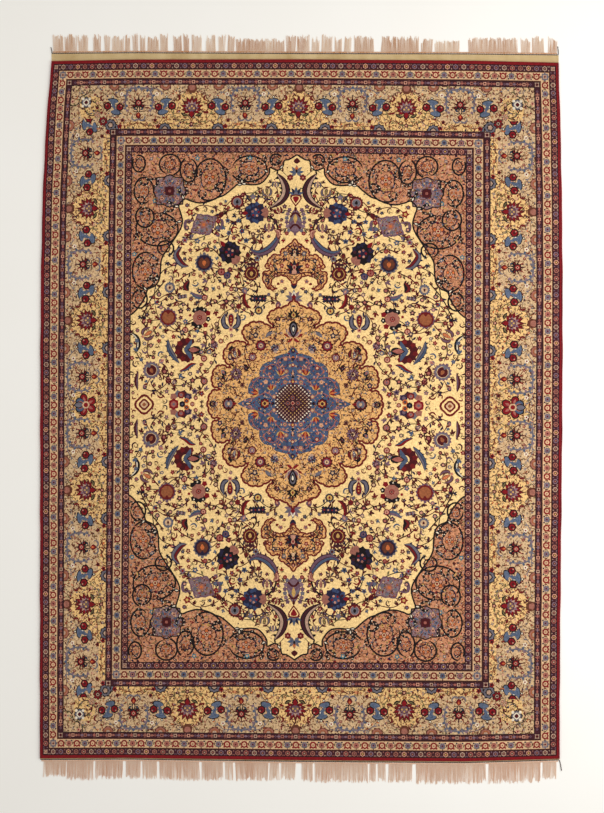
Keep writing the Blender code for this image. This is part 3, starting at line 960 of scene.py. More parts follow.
# Motifs strewn over the ivory field, and the dyes that each takes
fieldMotifs = """across along size lean kind dyes
0 92.6 13 180 lotus heather mauve slate wine gold
20.4 96.6 12.6 -88 cluster navy blue plum clay crimson
29.8 102.1 3.7 180 roundFlower wine red pink slate black
46.7 90.6 13 30 cloud heather mauveGround slate
53.9 96.9 2.2 20 flower crimson gold
33.2 76.4 13 -140 cluster black navy plum clay crimson
46.2 71.2 5 0 roundFlower slate navy wine brown orange
46.2 66.9 2.6 180 bud crimson wine pink
21.9 65.7 4.3 0 pomegranate plum red gold wine gold
63.7 58.7 2.9 0 roundFlower steel slate slate cream wine
37.3 66.5 2.1 0 roundFlower wine crimson rose rose red
34.3 64.7 2 0 roundFlower navy blue plum heather navy
13.4 89.4 4.4 0 tulip plum heather clay pink
34.5 92.6 1.5 0 flower steel plum
29 92.6 1.5 0 flower steel plum
33.8 86.3 1.5 30 flower steel plum
27.1 87.2 1.7 20 flower blue red
24.9 82.4 1.7 0 flower steel navy
21.4 85.6 1.5 0 flower plum cream
17.5 81.8 1.6 0 flower red brown
10.6 110.8 3.2 180 tulip plum slate mauve cream
14.8 107.4 4.6 10 tulip brown slate olive gold
13.3 100.2 3.6 -20 bud crimson wine pink
8.8 98 3.6 20 tulip wine red crimson pink
26.1 106.4 3.4 120 bud wine red rose
21.8 104.8 1.7 0 flower slate mauve
37.4 97 4.4 160 bud red wine wine
31.6 67.9 3.8 100 bud wine red rose
23.6 73.4 4.2 10 bud wine brown red
19 73.4 1.9 0 flower slate wine
18.2 52.9 9.6 88 jagged navy black crimson
26 58.4 4.6 -150 bud mauve slate pink
7.2 51 4.6 150 bud red heather pink
17.9 46.8 2.4 0 roundFlower slate black black gold crimson
45.7 53.5 1.7 0 roundFlower wine crimson rose pink red
55.6 37.2 1.8 0 roundFlower wine crimson rose pink red
45.8 22.8 1.8 0 roundFlower wine crimson rose pink red
45.6 11.4 2.1 0 roundFlower plum wine clay rose mauve
64.4 43.6 4.9 0 roundFlower heather red russet russet russet
48.2 43.4 5.6 0 pansy clay black crimson wine
32.1 42 8.6 0 tulip navy slate crimson gold
54.7 27.2 12.4 -90 crescent wine red steel rose
72.8 17.1 4.7 30 roundFlower heather slate cream wine russet
68.8 21 4 -60 bud pink mauve rose
57.3 54 5.6 100 jagged slate plum crimson
39.4 50.6 3.6 40 bud red black pink
34.6 51.6 1.8 0 flower plum rose
28.2 49 1.5 0 roundFlower wine crimson wine red plum
29.4 56.4 3 10 bud slate navy cream
74.6 35.6 6 -60 tulip brown heather orange pink
40.6 29.6 4.6 30 cluster plum mauve slate rose crimson
57.2 36 1.6 0 flower navy cream
60.2 70.6 3.4 100 bud crimson navy pink
39 84.4 3.6 20 bud wine mauve rose
56.2 82.6 1.8 0 flower mauve crimson
71.4 50.6 3.6 -60 bud navy slate crimson
77.6 40.4 3.6 -30 bud crimson wine pink
66 16.4 2.1 0 flower wine rose
75.6 7.6 3.4 30 bud mauve navy rose
64 11.8 3.6 0 cluster wine red clay rose wine
51.6 11.8 1.9 0 flower plum rose
50.4 6.4 1.9 0 flower heather navy"""

# Long curved leaves of the field, with their points from tip to tip
fieldSickles = """width edge belly back points
4.4 black dust plum 10.2 117 6.6 112.6 5.2 107.4 7.6 102.6 13.6 98.6
3.9 plum heather steel 23.1 78.1 18.6 76 13.4 77.8 9.6 82 7.6 86.6
2.4 red pink clay 8.8 83.4 8.4 86.4 10.4 87.6
3.4 navy slate red 57.6 79.6 60.6 75.4 57.6 70.6 54 69.4
2.4 slate steel heather 53.2 56.6 50.4 54.4 47.6 53.8 43.8 54.4
2 red wine crimson 24.9 57.6 25.6 53 24.2 49.4 21.6 48
2.8 navy steel slate 64.4 32.8 63.8 28.2 61.4 24 58.4 20.4
2.2 wine steel crimson 58.6 16.4 55 17.6 52.4 19.6 49.6 20.2
2 plum wine heather 79.6 17 80.6 12 79.8 7
3.2 plum red black 53.6 62.2 55.4 59.2 54 56.8"""

# Vines of the field
fieldVines = """dye width leaves points
black .7 4 16.4 96 10.4 92.4 8.2 86.4
wine .5 6 24.6 95.2 30.6 91.4 34 84 33.4 80
brown .4 4 33.4 99.4 38.4 96 41.2 92
brown .4 3 21.6 101.6 26.6 98.6 29.6 98.4
wine .4 4 51.4 87 55.6 84 60.4 80
wine .45 5 38.4 75 42.4 78.4 47 78.4 50.6 76.6
brown .4 3 27 74.6 22.4 72 19.4 70.2
wine .45 5 50.4 67.2 56.4 64.4 60.6 60.6
brown .4 6 42.2 67.4 36.6 60.4 28.6 58.4 24.4 59
black .5 3 20.6 62 18.6 58.4 20.4 55.6
brown .4 4 28 53.6 33.4 51.4 36.2 47.6
wine .45 5 52.8 47.6 58 51.6 62 50.6 64.4 48.8
brown .4 3 60 41.4 56.6 33.6 56.4 31.6
wine .45 6 68.6 40.6 73.8 34 75 27 73.4 22.4
brown .4 2 42.2 40.4 40.4 37.4 37 36.8
wine .45 5 49.8 24.4 46 26.4 44.6 31.4 46.6 37.4
brown .4 4 68 15.4 63.4 11.6 61 7.6
wine .4 4 77 20.4 80.6 26.4 80 33.4
brown .4 5 50.2 4.4 46.6 8.4 46.4 14.4 49.4 18.6
black .45 6 66.6 61.6 72.4 54.4 76 47.4 79 41.4
olive .35 4 17 109.4 20.4 107.6 24.4 104.4 27 103.4
brown .35 3 5.4 88 9.4 85.6 10 80.4
brown .35 5 17 72.4 20 76.4 26 80.4 29 80.6
brown .4 4 44 63 49.4 50.6 49.8 49.6
wine .4 3 66 3.6 71.6 8.4 73.4 12.2
olive .3 2 5 115.6 8.6 118.6 12.4 117"""


def sideFlower(spot):
    # the broad flower on the short axis of the field
    knobs(spot, (-14, 16, 46, -46), 5.4, 2.0, "plum/slate/clay/heather")
    for x, y, size, dye, face in ((0.0, 4.6, 2.0, "red", "rose"), (-3.4, 3.6, 1.8, "navy", "heather"),
                                  (-2.8, 1.6, 1.5, "orange", "wine"), (3.8, 0.0, 2.9, "crimson", "rose"),
                                  (-5.8, 0.0, 1.3, "crimson", "pink"), (-0.6, 0.0, 1.7, "black", "navy")):
        rings(spot.at(x, y), size, 7, 0.16, dye, size * 0.56, 5, 0.1, face, size * 0.24, 3, 0.0, "slate")
    spot.hold(6.6)


def linkMotifs(spot):
    # a thin leafy vine from each motif to its nearest neighbours
    places = [np.array(motif[:2], float) for motif in rowsOf(fieldMotifs)]
    for i, here in enumerate(places):
        near = sorted(range(i + 1, len(places)), key=lambda k: math.dist(here, places[k]))[:2]
        for k in near:
            way = places[k] - here
            length = float(np.linalg.norm(way))
            if length < 24.0:
                side = np.array([-way[1], way[0]]) * (0.2 if (i + k) % 2 else -0.2)
                points = (here, here + way * 0.3 + side, here + way * 0.7 + side * 0.8, places[k])
                dye = inTurn("wine/brown/black", i + k)
                vine(spot, points, dye, 0.46, round(length / 5.0), 2.6, "wine/navy/red/olive/heather")


def drawMotifs(spot):
    reaches = {"roundFlower": 1.0, "flower": 1.0, "pomegranate": 1.1, "pansy": 1.0}
    linkMotifs(spot)
    vines(spot, fieldVines, 2.4, "wine/black/navy/red", 1.35)
    for width, edge, belly, back, *points in rowsOf(fieldSickles):
        points = pairsOf(points)
        sickle(spot, points, width, edge, belly, back)
        for x, y in smooth(points, 3):
            spot.hold(width * 0.4, x, y)
    plant(spot, fieldMotifs)
    for x, y, size, _, kind, *_ in rowsOf(fieldMotifs):
        spot.hold(reaches.get(kind, 0.46) * size, x, y)


def drawLongAxis(spot):
    # what stands on the long axis, from the field's end down to the medallion
    plant(spot, """across along size lean kind
        0 121.6 3.2 0 petal 1.1 1 wine
        0 117.2 1 0 fan 7 250 4 1.7 steel/slate .9
        0 118 1 0 petal 1.5 2.6 orange
        0 116.9 1 0 petal 1.1 2.2 black
        3.2 114.6 1.7 0 rosette wine red crimson rose pink 6
        0 105.6 1 0 fan 7 200 4.6 1.7 steel/navy .72
        0 106.4 1 0 disc 1 8 slate""")
    heart = spot.at(0, 106.0, turn=180)
    bulge = ((0.06, 0.8), (0.3, 1.0), (0.62, 0.62))
    for y, width, length, dye in ((0, 6.0, 6.4, "red"), (0.7, 4.5, 4.6, "ivory"), (0.9, 3.2, 3.8, "crimson")):
        heart.at(0, y).paint(petalShape(width, length, bulge), dye)
    heart.at(0, 6.2).paint(petalShape(1.5, 2.8), "wine")
    plant(spot, """across along size lean kind
        0 114.6 4.4 0 hold
        0 118.2 3.6 0 hold
        0 107.2 3.8 0 hold
        0 103 3.8 0 hold
        0 98 1.4 0 hold
        5.6 99.8 1.5 0 flower wine mauve
        6.6 93.8 2.6 150 bud wine navy rose
        5.6 99.8 1.6 0 hold
        6.6 93.8 1.4 0 hold
        0 57.6 3.2 0 round 1 1 navy
        0 52.8 1 0 fan 7 210 4.8 2 slate/mauve .95
        0 53 1 0 petal 2.4 3.6 white
        0 53 1 0 petal 1.4 2.6 mauve
        0 53.6 1 0 disc 1.1 8 crimson
        6.2 61.6 1.4 0 flower rose slate
        3.6 57.6 2.6 70 bud red wine pink
        8.8 60.6 2.2 -110 bud crimson wine
        0 55.4 4.6 0 hold
        6.2 61.6 1.5 0 hold
        0 59 1.6 0 hold""")


def fieldBud(spot, kind):
    # the small flowers and leaves that fill the ivory ground
    dye = inTurn("wine/navy/red/plum/crimson/heather/steel/wine", int(kind * 991))
    pale = inTurn("pink/slate/cream/rose", int(kind * 577))
    spot.line(((0.3, -1.4), (-0.3, -0.7), (0, 0)), 0.26, "brown", steps=0)
    if kind < 0.24:
        rings(spot, 0.9, 5, 0.1, dye, 0.5, 3, 0.0, pale)
    elif kind < 0.56:
        rings(spot, 1.1, 5, 0.4, dye, 0.34, 3, 0.0, pale)
    elif kind < 0.8:
        for turn, size in ((-50, 1.3), (50, 1.3), (0, 1.7)):
            spot.at(0, -0.7, size, turn=turn).paint(leafShape(0.46, 1.0, 0.08, 2), dye)
    else:
        spot.line(((-1.1, -0.6), (-0.3, 0.6), (0.9, 0.4), (0.7, -0.5)), 0.5, dye, 0.2, 0.5, 3)
    side = 1 if kind * 10 % 1 > 0.5 else -1
    spot.at(-0.1 * side, -0.9, 1.3, turn=side * 80).paint(leafShape(0.4, 1.0, 0.1, 1), "olive")


# Rings of vine in the corners of the field, with the degrees at which they start, and split leaves
cornerScrolls = """across along halfWidth halfHeight start
64.5 121.2 5.8 5.6 200
44.1 113.9 8.8 11.2 150
24.2 119.3 9.6 7 120
77.6 107.7 5.2 7.2 260
70.1 88.5 11.3 9.2 60
76.3 67 7 9.8 300
76.6 94.4 5 5.6 20
54.6 118.4 4.6 6.6 30
80 121.8 3.4 4.6 60
66.2 78.6 4.4 4 200
79.2 53 4.2 4.8 130
10.6 123.8 3.2 2.8 300"""
cornerLeaves = """across along lean size
16.4 121.4 30 3.4
11.8 120.4 -10 2.8
38.2 107 12 3.6
30.6 112.6 -60 3
27 112.4 0 3.2
56.8 105 10 3.4
61.6 98.6 70 3.6
60.6 91.4 95 3
69.4 71.4 80 3.4
71 61.6 20 3.2
77.4 56.8 40 3
81.6 48.6 60 2.6
63.4 84 60 3
48.6 104 -20 3
52.4 111.6 60 3
34.4 118.2 110 3
77 99.6 190 3.2
80.6 86.8 200 2.8
70.2 113.8 130 3
44 122.4 180 2.8"""


def drawSpandrel(spot, outline):
    # the corner ground is full of tiny flowers, with rings of vine over them
    for x, y, across, along, start in rowsOf(cornerScrolls):
        ring = spot.at(x, y)
        path = scroll(ring, across, along, "black", 0.9, start, 330.0)
        for px, py in path[::2]:
            ring.hold(0.4, px, py)
        path = scroll(ring, across * 0.56, along * 0.56, "navy", 0.62, start + 150, -300.0)
        for k in range(2, 24, 4):
            lean = start + 150 - 300 * k / 25.0
            leaf = ring.at(*path[k], 2.2, turn=lean + 90)
            leaf.paint(leafShape(0.46, 1.0, 0.1, 3), inTurn("black/navy/wine/black", k // 4))
            leaf.at(0, 0.3, 0.5).paint(leafShape(0.4, 1.0, 0.0, 1), inTurn("cream/orange", k // 4))
        size = min(across, along) * 0.34
        rosette(ring.at(0, 0, size), "wine", "pink", "orange", "cream", "crimson", 6)
        ring.hold(size)
        for way in (-1, 1) if along > 6.9 else ():
            arm = ring.at(0, 0, turn=start + way * 70.0)
            arm = arm.at(0, min(across, along) * 0.62, 3.0, turn=way * 60.0)
            splitLeaf(arm, "black", "white")
            arm.hold(0.6, 0, 0.6)
    for x, y in ((23.8, 124.4), (82.0, 75.6), (71.8, 102.6), (50.4, 124.4)):
        flower(spot.at(x, y, 1.5), "teal", "cream")
        spot.hold(1.5, x, y)
    # a cushion of mauve lies on the diagonal
    turns = np.arange(32) * math.pi / 16.0
    scallop = 1.0 + 0.06 * np.cos(turns * 8.0)
    square = np.maximum(np.abs(np.cos(turns)), np.abs(np.sin(turns))) ** -0.4
    cushion = np.column_stack([np.sin(turns), np.cos(turns)]) * (square * scallop)[:, None]
    middle = spot.at(64.3, 107.7)
    for size, dye in ((8.1, "black"), (7.5, "mauveGround")):
        middle.paint(cushion * size, dye)
    for turn in range(0, 360, 45):
        flower(middle.at(0, 0, turn=turn).at(0, 5.4, 1.2), inTurn("sky/pink", turn // 45), "wine")
        leaf = middle.at(0, 0, turn=turn + 22.5).at(0, 3.4)
        leaf.paint(leafShape(0.9, 2.6), "steel")
    for size, dye in ((2.5, "plum"), (1.9, "wine"), (0.7, "rose")):
        middle.paint(cushion * size, dye)
    middle.hold(8.4)
    # split leaves where the scrolls meet the edge of the field
    for x, y, turn, size in rowsOf(cornerLeaves):
        splitLeaf(spot.at(x, y, size, turn=turn), "black", "white", 1.0)
        spot.hold(size * 0.5, x, y)
    colours = "red/russet/navy/slate/wine/crimson/gold/black/plum/steel/wine/pink/navy"
    scatter(spot, outline, 9000, 1.0, (0.6, 1.2), tinyBloom(colours), "spandrel filling")


def rimmed(spot, outline, ground, rim, width, inner=0.0):
    # a part of the field with its coloured edge, and a second line further in
    spot.paint(outline, ground)
    path = outline[:-1] if outline[-1].max() < 1e-6 else outline
    spot.line(path, width, rim, steps=0)
    if inner:
        spot.line(bothSides(path, np.full(len(path), -inner))[0], 0.34, rim, steps=0)


def drawPendant(spot, outline):
    rimmed(spot, outline, "amberGround", "red", 0.8, 1.7)
    plant(spot, """across along size lean kind
        0 68.4 8.4 0 palmette black navy red pink crimson 9 250
        0 76.4 6 0 palmette black wine navy cream crimson 9 250
        0 79 3.4 0 bud red wine pink""")
    vines(spot, """dye width leaves points
        wine .5 5 .6 65 4.4 66.2 8.6 65.6 12.6 62.6 12 59.8
        black .5 5 2.6 72 6.4 72.8 9.8 71.8 10.6 69 8.4 67.8
        wine .5 5 1.2 80.4 3.8 77.4 5.4 74.8 4.6 71.6
        black .5 5 8.4 67.8 11.4 66 13.8 63.4""", 2.0, "navy/wine/black/olive")
    for x, y, petal, middle in rowsOf("""across along petal heart
            10 72.2 navy cream
            13.8 62.2 navy gold
            6.4 69.6 crimson pink
            12 69.6 crimson cream
            4.6 75.8 slate cream
            9.4 64.6 wine pink"""):
        flower(spot.at(x, y, 1.35), petal, middle)
        spot.hold(1.3, x, y)
    spot.hold(3.4, 0, 68.6).hold(2.4, 0, 76.4)
    scatter(spot, outline, 1500, 1.0, (0.45, 0.8),
            tinyBloom("navy/red/wine/crimson/cream/russet/black"), "pendant filling")


def drawMedallion(spot, outline, heart):
    rimmed(spot, closed(outline), "tanGround", "red", 1.0)
    for way in (-1, 1):
        for turn, reach, dye in rowsOf("""lean reach dye
                70 5.4 crimson
                44 6 mauve
                20 6.6 red
                130 4.4 crimson"""):
            spot.at(0, 33.4, turn=way * turn).paint(leafShape(1.3, reach, way * 0.5), dye)
        stem = ((0, 32.6), (way * 2.6, 34.4), (way * 2.8, 37.4), (way * 1.0, 40.4))
        spot.line(stem, 0.5, "cream", 0.1, 0.3)
    for width, height, dye in rowsOf("""width height dye
            4.4 8.6 black
            2.8 6.2 slate
            1.9 4.6 black
            1 2.4 white"""):
        spot.at(0, 37.2 - height * 0.5).paint(roundPetal(width, height), dye)
    plant(spot, """across along size lean kind
        0 43.4 1 0 fan 7 150 4.6 1.5 black .75
        0 43 1 0 petal 2.4 3.2 gold
        0 43.8 1 0 petal 1 1.5 crimson
        16.6 29.1 1 0 rings 3.2 10 .2 wine 2.5 8 .24 crimson 1.8 8 .2 heather 1.1 6 .1 cream .45 4 0 wine
        20.8 23.4 2.4 0 roundFlower wine red pink mauve cream
        29.2 15 3.3 0 rosette wine mauve heather cream black 11
        26 9.2 1.3 0 roundFlower brown wine cream wine plum
        33 0 3.6 0 roundFlower black wine rose slate cream
        31.2 0 1 -90 petal 1.6 2.6 crimson
        41 0 4.6 -90 cluster black plum slate gold red
        30 25.2 5.4 14 tulip wine red slate white
        31.2 29.2 1 150 round 1.9 3.2 black
        23.4 16 1 20 round 2.3 4 black
        23.6 16.8 1 20 round 1 2.2 wine
        34.8 12 1 40 round 1.6 2.6 black
        34.6 14.4 4.4 40 bud slate black rose
        31.6 22 4.2 30 bud mauve black cream
        9.4 27.6 4.6 190 cluster slate steel white dust navy
        14.4 33.2 6 -58 leaf .34 1 .1 navy
        14.4 33.2 5 -58 leaf .34 1 .1 slate
        19.4 34.4 1.9 0 flower navy cream
        37.4 9.6 1.8 0 flower navy pink
        8 42.6 1.8 0 flower wine pink""")
    vines(spot, """dye width leaves points
        wine .46 6 23.4 30.4 25.2 25.6 22.6 19 19.4 14.4
        wine .46 6 10.8 41 8.4 36.4 11.6 31 16 30
        wine .46 6 32.6 19.8 30.4 19 27.4 11.6 25.4 9
        wine .46 6 36 6.6 32.6 9 29.6 6.4 28.4 2.4
        wine .46 6 2.4 41.4 5.4 43.4 8.4 42.4 10 39.6
        wine .46 6 16.4 38 20.6 37.4 22.4 33.6 19 29.4
        wine .46 6 29 29 31.8 25.4 29.4 20 26 17
        wine .46 6 38.6 14.6 36 11 32.4 12 29.4 14.4
        wine .46 6 4.6 32 8 29 13 26""", 2.0, "black/wine/olive/navy")
    for x, y, reach in rowsOf("""across along reach
        0 36.6 4.8
        0 45.6 2
        16.6 29.1 2.8
        21 23.4 2.5
        28.7 15.4 2.8
        33.8 0 4.6
        27.4 27.6 1.6
        11 28 1.7
        13 35.4 1.6
        25 9.5 2.1
        19.4 34.4 1.8
        35.6 15.8 1.5
        32.4 23.8 1.5
        37.4 9.6 1.7
        8 42.6 1.6""") + [(x, y, 1.6) for x, y in heart]:
        spot.hold(reach, x, y)
    spot.hold(14.0, 3.0, 6.0).hold(12.0, 6.0, 10.0).hold(6.0, 18.0, 4.0)
    scatter(spot, closed(outline), 3400, 1.0, (0.5, 0.9),
            tinyBloom("navy/red/wine/slate/cream/crimson/black/mauve/russet"), "medallion filling")
    drawHeart(spot, heart)


def drawHeart(spot, heart):
    # the blue heart of the medallion
    rimmed(spot, closed(heart), "blueGround", "steel", 0.5)
    around = spot.drawing.taken
    spot.drawing.taken = []
    for x, y, size in rowsOf("""across along size
            5 19.6 3
            11.4 16.8 2.8
            13.8 8.4 3.2
            8.4 21 2
            19.2 9 2.4"""):
        rings(spot.at(x, y), size, 7, 0.2, "blue", size * 0.7, 6, 0.2, "steel")
    vines(spot, """dye width leaves points
        rose .4 4 0 21.4 3.2 23.4 7.6 21.6 6.6 18.4 3.4 18.6
        rose .4 4 2 15.6 6.4 17.4 10.4 19.6 14.6 17.2 13.4 14.2 10.6 14.8
        rose .4 4 9.4 12.6 13.2 12.8 17.4 13 20.8 9 18.6 6.4 16.2 8
        rose .4 4 10.6 3.4 13.4 5.6 16.6 4.4 20 3 24.6 1
        rose .4 4 10.4 7.6 8 11 4.6 13.6 1.8 12""", 1.7, "pink/navy/clay")
    for x, y, turn, size in ((6.4, 15.0, -8, 5.0), (11.0, 7.6, 10, 4.6), (17.6, 6.2, 80, 5.4)):
        fan(spot.at(x, y - 1.0, turn=turn), 5, 100, size * 0.78, 1.1, "orange/crimson/gold", 0.8)
        spot.hold(1.9, x, y)
    for x, y, rim, middle in rowsOf("""across along rim heart
            13.9 10.8 pink orange
            3.9 22.3 clay orange
            4 10.6 rose navy
            9.6 3.4 clay cream
            11.8 17.9 crimson pink
            3.4 16 clay gold"""):
        rings(spot.at(x, y), 1.3, 5, 0.2, rim, 0.7, 4, 0.1, "cream", 0.4, 3, 0, middle)
        spot.hold(1.3, x, y)
    plant(spot, """across along size lean kind
        0 25 1 0 petal 2.6 3 navy
        0 21 1 0 petal 2 3.4 navy
        0 18 1 0 petal 2.2 2.4 crimson
        0 18.6 1 0 petal 1.4 1.4 cream
        0 13.8 1 0 petal 1.3 3 orange
        0 14.2 1 0 petal .8 2.2 cream
        0 12.2 1 0 petal 1.3 2 black
        0 9.8 1 0 petal 2.4 2.4 crimson
        0 10.2 1 0 petal 1.2 1.4 gold
        0 26 1 0 petal .9 1.2 gold
        14.4 0 1 0 rings 2.9 8 .2 black 2.3 7 .2 crimson 1.5 5 .2 gold .9 3 .1 wine
        10.2 0 1 0 rings 1 4 .2 black
        25 0 1 -90 petal 1.6 4.4 navy
        24.2 0 1 -90 petal .9 2.6 cream""")
    # a dark oval full of pale scales lies in the middle
    oval = [(9.2 * math.sin(i * math.pi / 20.0), 9.9 * math.cos(i * math.pi / 20.0)) for i in range(11)]
    spot.paint(oval + [(0, 0)], "plum")
    spot.hold(8.8)
    for row in range(11):
        for column in range(row % 2, 11, 2):
            x, y = column * 0.98, row * 0.98
            far = math.hypot(x / 9.2, y / 9.9)
            if 0.2 < far < 0.97:
                scale = spot.at(x, y, 1.15 if far > 0.7 else 0.9, turn=math.degrees(math.atan2(x, y)))
                dye = "white" if far > 0.84 else inTurn("gold/cream/dust", (row + column) // 2)
                scale.at(0, -0.5).paint(leafShape(0.7, 1.0, 0.0, 1), dye)
    plant(spot, """across along size lean kind
        0 2.7 1 0 rings 1.5 6 .1 black 1.15 6 .1 rose .8 5 .1 wine .4 3 0 slate
        2.5 0 1 0 rings 1.5 6 .1 black 1.15 6 .1 rose .8 5 .1 wine .4 3 0 slate
        0 0 1 0 rings 1.2 4 .3 pink .8 4 .3 crimson""")
    scatter(spot, closed(heart), 1600, 1.15, (0.5, 0.8),
            tinyBloom("orange/pink/crimson/cream/navy/rose/navy"), "heart filling")
    spot.drawing.taken = around + spot.drawing.taken


def drawField():
    drawing = Drawing("ivory")
    spot = Spot(drawing)
    reachX, reachY = field["reach"]
    edge = smooth(pairsOf(sum(rowsOf(field["edgeLine"]), [])), 4)
    corner = np.vstack([edge, [(reachX + 1.0, 45.0), (reachX + 1.0, reachY + 1.0), (0, reachY + 1.0)]])
    medallion = quarterOutline("medallion", 4, -0.5)
    heart = quarterOutline("heartMedallion")
    pendant = quarterOutline("pendant", 4, -0.4)
    drawMotifs(spot)
    drawLongAxis(spot)
    # the lobed square on the short axis, and the dark leaf near the field's side
    sideFlower(spot.at(57.4, 0.0))
    quatrefoil = spot.at(76.4, 0.0)
    for size, dye in ((5.2, "red"), (4.0, "ivory"), (2.9, "red"), (1.9, "cream"), (1.0, "russet")):
        quatrefoil.paint(lobed(4, 0.2, size, 5), dye)
    for turn in (-50, 50, 130):
        quatrefoil.at(0, 0, turn=turn).line(((0, 5.0), (1.6, 6.4), (0.2, 7.4)), 0.7, "red", 0.2, 0.4, 3)
    quatrefoil.hold(6.6)
    sickle(spot, ((84.0, 36.4), (80.4, 33.6), (79.4, 29.4), (81.4, 25.4)), 2.2, "black", "white", "black")
    for points, reach in ((pendant, 1.4), (medallion, 1.4), (edge, 1.2)):
        for x, y in points:
            spot.hold(reach, x, y)
    free = np.vstack([edge, [(reachX, 0.0), (44.1, 0.0)], medallion[::-1]])
    scatter(spot, free, 9000, 1.1, (1.0, 1.7), fieldBud, "field filling")
    spot.paint(corner, "roseGround")
    drawSpandrel(spot, corner)
    spot.line(edge, 0.8, "black", steps=0)
    for x, y, turn in rowsOf("""across along lean
            27.6 111.2 0
            25 111.4 90
            30.2 111 -90
            8.6 118.9 -40
            14.2 117.2 60
            57 103.2 20
            59.2 99.6 80
            57.8 92.4 100
            69.2 62.6 60
            75.4 57 40"""):
        joint = spot.at(x, y, 1.5, turn=turn)
        joint.paint(petalShape(1.2, 2.2), "black")
        joint.at(0, 0.4).paint(petalShape(0.5, 1.2), "white")
    drawPendant(spot, pendant)
    drawMedallion(spot, medallion, heart)
    return drawing, edge, medallion


# From drawing to cloth: one closed slab for each part of the pattern
pile = {
    "height": 10.0,  # mm, the tips of the pile above the floor
    "selvedge": 7.3,  # mm, the cord beside the pile and its gap
    # inset and height of each level in mm, from the drawn face to the hidden one
    "edgeLevels": ((2.5, 10.0), (0.75, 9.25), (0.0, 7.5), (0.0, 3.2)),
    "plainLevels": ((2.5, 10.0), (2.5, 3.2)),
    "backLevels": ((2.5, 0.0), (0.0, 0.6), (0.0, 3.2)),
    "longestEdge": 3.0,  # cm, of any straight side in the drawing
    "backDetail": 20.0,  # cm2, the smallest shape that shows through at the back
}


def paintOf(dye, shade):
    # red, green and blue, and the share of small flowers
    colour = dyes[dye]
    return [value * shade for value in linear(colour)] + [colour[3] if len(colour) > 3 else 0.0]


def dense(outline, longest):
    # more points on the long sides, so that they follow the pull of the loom
    runs = []
    for start, stop in zip(outline, np.roll(outline, -1, axis=0)):
        count = max(1, math.ceil(float(np.linalg.norm(stop - start)) / longest))
        runs.append(start + (stop - start) * (np.arange(count) / count)[:, None])
    return np.vstack(runs)


def netOf(points, edges, faces):
    # places, triangles, and the faces that each triangle lies in
    places, _, triangles, _, _, owners = delaunay_2d_cdt(points, edges, faces, 0, 1e-7, True)
    return places, triangles, owners


def cutQuarter(region, drawing, shapes):
    # triangles of one quarter with the topmost shape's colour
    region = dense(region, pile["longestEdge"])
    low, high = region.min(axis=0), region.max(axis=0)
    outlines, paints = [region], [paintOf(drawing.ground, 1.0)]
    for outline, dye, shade in shapes:
        if (outline.max(axis=0) > low).all() and (outline.min(axis=0) < high).all():
            outlines.append(dense(outline, pile["longestEdge"]))
            paints.append(paintOf(dye, shade))
    starts = np.cumsum([0] + [len(outline) for outline in outlines])
    faces = [list(range(start, stop)) for start, stop in zip(starts, starts[1:])]
    points = [Vector(point) for point in np.vstack(outlines)]
    places, triangles, owners = netOf(points, [], faces)
    triangles, owners = zip(*[(t, max(o)) for t, o in zip(triangles, owners) if 0 in o])
    triangles, owners = np.array(triangles), np.array(owners)
    # what lies hidden under other shapes goes: only lines between two colours stay
    sides = np.sort(np.vstack([triangles[:, [0, 1]], triangles[:, [1, 2]], triangles[:, [2, 0]]]), axis=1)
    sides, index, count = np.unique(sides, axis=0, return_inverse=True, return_counts=True)
    least = np.full(len(sides), len(paints))
    most = np.zeros(len(sides), int)
    np.minimum.at(least, index.ravel(), np.tile(owners, 3))
    np.maximum.at(most, index.ravel(), np.tile(owners, 3))
    seams = sides[(count == 1) | (least != most)]
    used, seams = np.unique(seams, return_inverse=True)
    whole = BVHTree.FromPolygons([(*p, 0.0) for p in places], triangles.tolist())
    kept = [places[i] for i in used] + points[: len(region)]
    rim = list(range(len(used), len(kept)))
    places, net, inside = netOf(kept, seams.reshape(-1, 2).tolist(), [rim])
    places = np.array([tuple(p) for p in places])
    triangles = np.array([t for t, o in zip(net, inside) if o])
    middles = places[triangles].mean(axis=1)
    colours = [paints[owners[whole.find_nearest((*middle, 0.0))[2]]] for middle in middles]
    return places, triangles, np.array(colours)


def outerEdges(triangles):
    # directed sides that only one triangle has, and the triangle of each
    sides = np.concatenate([triangles[:, [0, 1]], triangles[:, [1, 2]], triangles[:, [2, 0]]])
    owner = np.tile(np.arange(len(triangles)), 3)
    count = int(triangles.max()) + 1
    code = sides[:, 0] * count + sides[:, 1]
    alone = ~np.isin(code, sides[:, 1] * count + sides[:, 0])
    return sides[alone], owner[alone]


def loopOf(edges):
    after = {int(a): int(b) for a, b in edges}
    start = next(iter(after))
    loop = [start]
    while after[loop[-1]] != start and len(loop) < len(after):
        loop.append(after[loop[-1]])
    return loop


